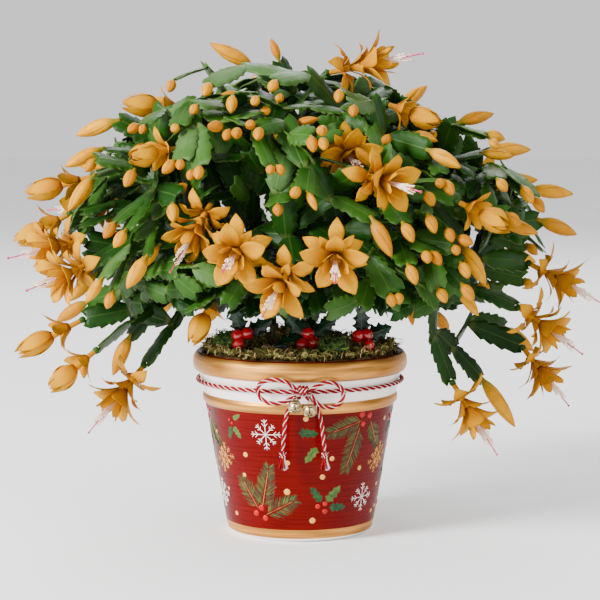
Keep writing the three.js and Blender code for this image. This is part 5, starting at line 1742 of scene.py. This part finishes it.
class CACTUS_OT_foliage(bpy.types.Operator):
    """Grows the leafy stems: toothed pads in chains, their short stalks and the closed buds"""
    bl_idname = "cactus.foliage"
    bl_label = "Leafy stems and buds"

    def execute(self, context):
        settings = context.scene.cactus_plant
        look_pads(settings)
        look_buds(settings)
        foliage = Foliage()
        plant = foliage.plant
        template = blade_template("toothed_pad", subdivide(PAD_OUTLINE, 0.06), 4)
        stalk = tube_template("stalk", 8, 6)
        bud = round_template("closed_bud", BUD_PROFILE, 16)
        for k, (stem, foot, top) in enumerate(plant["feet"]):
            green = Sculpt()
            sweep(green, stalk, straight_path(foot, top, 6), (1, 0, 0), STALK_RADIUS, 0, 1)
            for n, pad in enumerate(plant["pads"]):
                if pad["stem"] == stem:
                    self.lay_pad(green, template, pad, n)
            green.finish(f"toothed_pads_{k + 1}", "pad_green", ["pad_green", "woody_stem"], [stem])
            buds = Sculpt()
            for flower in plant["flowers"] + foliage.extra:
                if flower["kind"] == "bud" and flower["stem"] == stem:
                    self.lay_bud(buds, bud, flower)
            buds.finish(f"closed_buds_{k + 1}", "petal_yellow", ["bud_yellow"], [stem])
        return {"FINISHED"}

    def lay_pad(self, sculpt, template, pad, n):
        """Bows a blade from a pad's start to its end, with painted shade that darkens it the deeper it lies
        in the plant.
        """
        start, end, across = pad["start"], pad["end"], pad["across"]
        axis = unit(sub(end, start))
        normal, length = unit(pad["normal"]), size(sub(end, start))
        half, deep = pad["width"] / 2, pad["thickness"] / 2
        bow = PAD_BOW * (0.55 + 0.45 * draw(n + 311)) * min(1, length / PAD_LENGTH)
        middle = mix(start, end, 0.5)
        share = size(tuple((middle[i] - DOME_CENTRE[i]) / DOME_HALF[i] for i in range(3)))
        # painted shade: the deeper the pad lies in the dome, the darker its tint, with a random spread
        tint = max(-1, min(1, (share - 0.72) * 3.2 + 0.42 * draw(n + 411)))
        horn = 4.6 if length > 20 else 2.6

        def move(co):
            along, x = co.y, co.x
            body = share_out(PAD_BODY, along)
            flat = deep * body * (1 - 0.55 * min(1, abs(x)) ** 2) + RIB_RISE * max(0, 1 - abs(x) * 5)
            reach = along * length + (horn * abs(x) / 0.56 - 1.4 if along > 0.999 else 0)
            droop = bow * 4 * along * (1 - along) - 0.9 * x ** 2
            ripple = PAD_RIPPLE * x * math.sin(along * 9 + n)
            spot = add(add(start, axis, reach), across, x * half)
            return add(spot, normal, droop + ripple + co.z * flat)
        sculpt.stamp(template, move, tint, 0)

    def lay_bud(self, sculpt, template, flower):
        """Lays a folded bud that bends a little to one side. The small ones are plumper."""
        (base, axis, length, side), seed = lie_of(flower), flower["index"]
        fat = min(BUD_FATNESS * length, BUD_RADIUS_LIMIT)
        if seed >= FIRST_SMALL_BUD:
            fat = min(0.38 * length, 3.1 + 0.1 * length)
        over, start = cross(axis, side), add(base, axis, 1.0)

        def move(co):
            t = co.z
            fold = 1 + 0.07 * math.cos(3 * math.atan2(co.y, co.x) + 4 * t) * max(0, t)
            bend = 0.05 * length * max(0, t) ** 2
            spot = add(start, axis, 0.4 + t * (length - 1.4))
            return add(add(spot, side, co.x * fat * fold - bend), over, co.y * fat * fold)
        tint = 0.9 * draw(seed * 3 + 7) + (0.3 if length > 24 else -0.4)
        sculpt.stamp(template, move, max(-1, min(1, tint)))


class CACTUS_OT_blooms(bpy.types.Operator):
    """Opens the flowers: two whorls and inner petals round a column of stamens"""
    bl_idname = "cactus.blooms"
    bl_label = "Blooms"

    def execute(self, context):
        look_petals(context.scene.cactus_plant)
        look_stamens()
        self.petal = blade_template("petal", subdivide(PETAL_OUTLINE, 0.09), 6)
        self.tube = tube_template("flower_tube", 14, TUBE_STEPS)
        self.thread = tube_template("filament", 4, TUBE_STEPS)
        self.grain = round_template("anther", [(0, -1), (0.8, -0.6), (1, 0), (0.8, 0.6), (0, 1)], 6)
        self.fruit = round_template("ovary", [(0, -1), (0.7, -0.7), (1, 0), (0.75, 0.7), (0, 1)], 12)
        for flower in list_flowers():
            if flower["kind"] != "bud":
                self.make_bloom(flower)
        return {"FINISHED"}

    def lay_petal(self, sculpt, petal, seed, out):
        """Bends a blade from a petal's root past its belly to its tip, cupped towards the flower's middle."""
        root, belly, tip = petal["root"], petal["belly"], petal["tip"]
        control = add(times(belly, 2), mix(root, tip, 0.5), -1)
        across, half = petal["across"], petal["width"] / 2

        def move(co):
            t = co.y
            spot = mix(mix(root, control, t), mix(control, tip, t), t)
            normal = unit(cross(mix(sub(control, root), sub(tip, control), t), across))
            inward = -1 if dot(normal, out) > 0 else 1
            curl = inward * 0.2 * half * (1.2 - t) * co.x ** 2 + 0.35 * math.sin(11 * t + seed) * co.x
            keel = inward * 0.25 * max(0, 1 - 4 * abs(co.x)) * (1 - t)
            return add(add(spot, across, co.x * half), normal, curl - keel + co.z * 0.22 * (1.15 - t * 0.8))
        sculpt.stamp(self.petal, move, draw(seed + 77) * 0.8, 0)

    def lay_whorl(self, sculpt, flower, whorl, first):
        """A whorl of the finer petals, turned half a petal from those before it."""
        base, axis, length, side = lie_of(flower)
        root, belly, tip, width = whorl
        for k in range(PETALS):
            out = turn(side, axis, math.tau * (k + 0.5 + 0.1 * draw(first + k)) / PETALS)
            spot = lambda along, away: add(add(base, axis, along * length), out, away)
            lean = 1 + 0.14 * draw(first + k + 7)
            petal = {"root": spot(root, 2.8), "belly": spot(belly[0], belly[1] * lean),
                     "tip": spot(tip[0], tip[1] * lean), "across": cross(axis, out), "width": width}
            self.lay_petal(sculpt, petal, first + k, out)

    def make_bloom(self, flower):
        bloom = Sculpt()
        base, axis, length, side = lie_of(flower)
        seed = flower["index"] * 31
        half_open = flower["kind"] == "half"
        for k, petal in enumerate(list_petals(flower)):
            if half_open and petal["whorl"] == 1:
                petal["tip"] = add(petal["tip"], axis, 0.16 * length)
            petal["width"] *= PETAL_FULLNESS
            self.lay_petal(bloom, petal, seed + k, petal["out"])
        if half_open:
            self.lay_whorl(bloom, flower, (THROAT_WHORL[0], *CLOSING_WHORL), seed + 80)
        else:
            self.lay_whorl(bloom, flower, MID_WHORL, seed + 60)
            self.lay_whorl(bloom, flower, THROAT_WHORL, seed + 80)
        pipe = straight_path(add(base, axis, 2), add(base, axis, length * 0.84), TUBE_STEPS)
        sweep(bloom, self.tube, pipe, side, lambda t: 2.3 + 2.6 * t ** 2, 0.2, 4)
        ovary = frame_at(add(base, axis, 3.2), axis, side)
        bloom.stamp(self.fruit, lambda co: ovary(co, 3.4), 0.3, 5)
        self.lay_stamens(bloom, flower, (1.08 if half_open else 1.55) * length, 0.6 if half_open else 1)
        bloom.finish(flower["owner"].replace("bloom", "open_flower"), "petal_yellow",
                     ["petal_yellow", "stamen_pink", "stigma_magenta", "anther_cream", "petal_yellow",
                      "pad_green"], [flower["owner"]])

    def lay_stamens(self, bloom, flower, reach, flare):
        """The column of stamens with their anthers, and the style with its starry stigma past them."""
        base, axis, length, side = lie_of(flower)
        at, seed = frame_at(base, axis, side), flower["index"] * 31
        steps = [i / TUBE_STEPS for i in range(TUBE_STEPS + 1)]
        for k in range(STAMENS):
            angle = math.tau * k / STAMENS
            splay = 1.4 + 1.7 * abs(draw(seed + k + 200))
            stop, low = reach * (0.86 + 0.1 * draw(seed + k + 230)), length * 0.55
            path = []
            for t in steps:
                out = 0.9 + splay * t ** 2 * flare
                path.append(at((*polar(out, angle), low + (stop - low) * t)))
            sweep(bloom, self.thread, path, side, 0.34, 0, 1)
            grain = frame_at(path[-1], axis, side)
            bloom.stamp(self.grain, lambda co, grain=grain: grain(co, 0.8), 0, 3)
        top = reach * 1.06
        style = straight_path(add(base, axis, length * 0.5), add(base, axis, top), TUBE_STEPS)
        sweep(bloom, self.thread, style, side, 0.62, 0, 2)
        for k in range(STIGMA_LOBES):
            angle = math.tau * k / STIGMA_LOBES
            lobe = [at((*polar(t ** 2, angle), top + 2.6 * t)) for t in steps]
            sweep(bloom, self.thread, lobe, side, 0.5, 0, 2)


# ---- panel and registering ----

PIECES = [CACTUS_OT_stage, CACTUS_OT_cord, CACTUS_OT_bells, CACTUS_OT_pot, CACTUS_OT_motifs, CACTUS_OT_moss,
          CACTUS_OT_holly, CACTUS_OT_foliage, CACTUS_OT_blooms]


class CACTUS_PT_panel(bpy.types.Panel):
    bl_label = "Christmas Cactus"
    bl_idname = "CACTUS_PT_panel"
    bl_space_type = "VIEW_3D"
    bl_region_type = "UI"
    bl_category = "Cactus"

    def draw(self, context):
        for settings in (context.scene.cactus_plant, context.scene.cactus_pot, context.scene.cactus_trim):
            for key in settings.bl_rna.properties.keys():
                if key not in ("rna_type", "name"):
                    self.layout.prop(settings, key)
        for piece in PIECES:
            self.layout.operator(piece.bl_idname)


SETTINGS = [("cactus_plant", CactusPlantSettings), ("cactus_pot", CactusPotSettings),
            ("cactus_trim", CactusTrimSettings)]


def register():
    for key, group in SETTINGS:
        bpy.utils.register_class(group)
        setattr(bpy.types.Scene, key, bpy.props.PointerProperty(type=group))
    for cls in (*PIECES, CACTUS_PT_panel):
        bpy.utils.register_class(cls)


def unregister():
    for cls in reversed((*PIECES, CACTUS_PT_panel)):
        bpy.utils.unregister_class(cls)
    for key, group in reversed(SETTINGS):
        delattr(bpy.types.Scene, key)
        bpy.utils.unregister_class(group)


def main():
    register()
    for name, stretch in (("Mottle", (1, 1, 1)), ("Veins", (5, 0.6, 1)), ("Brush", (1, 1, 18)),
                          ("Fibres", (6, 0.3, 1))):
        noise_group(name, stretch)
    bpy.ops.cactus.stage()
    bpy.ops.cactus.cord()
    bpy.ops.cactus.bells()
    bpy.ops.cactus.pot()
    bpy.ops.cactus.motifs()
    bpy.ops.cactus.moss()
    bpy.ops.cactus.holly()
    bpy.ops.cactus.foliage()
    bpy.ops.cactus.blooms()


if __name__ == "__main__":
    main()
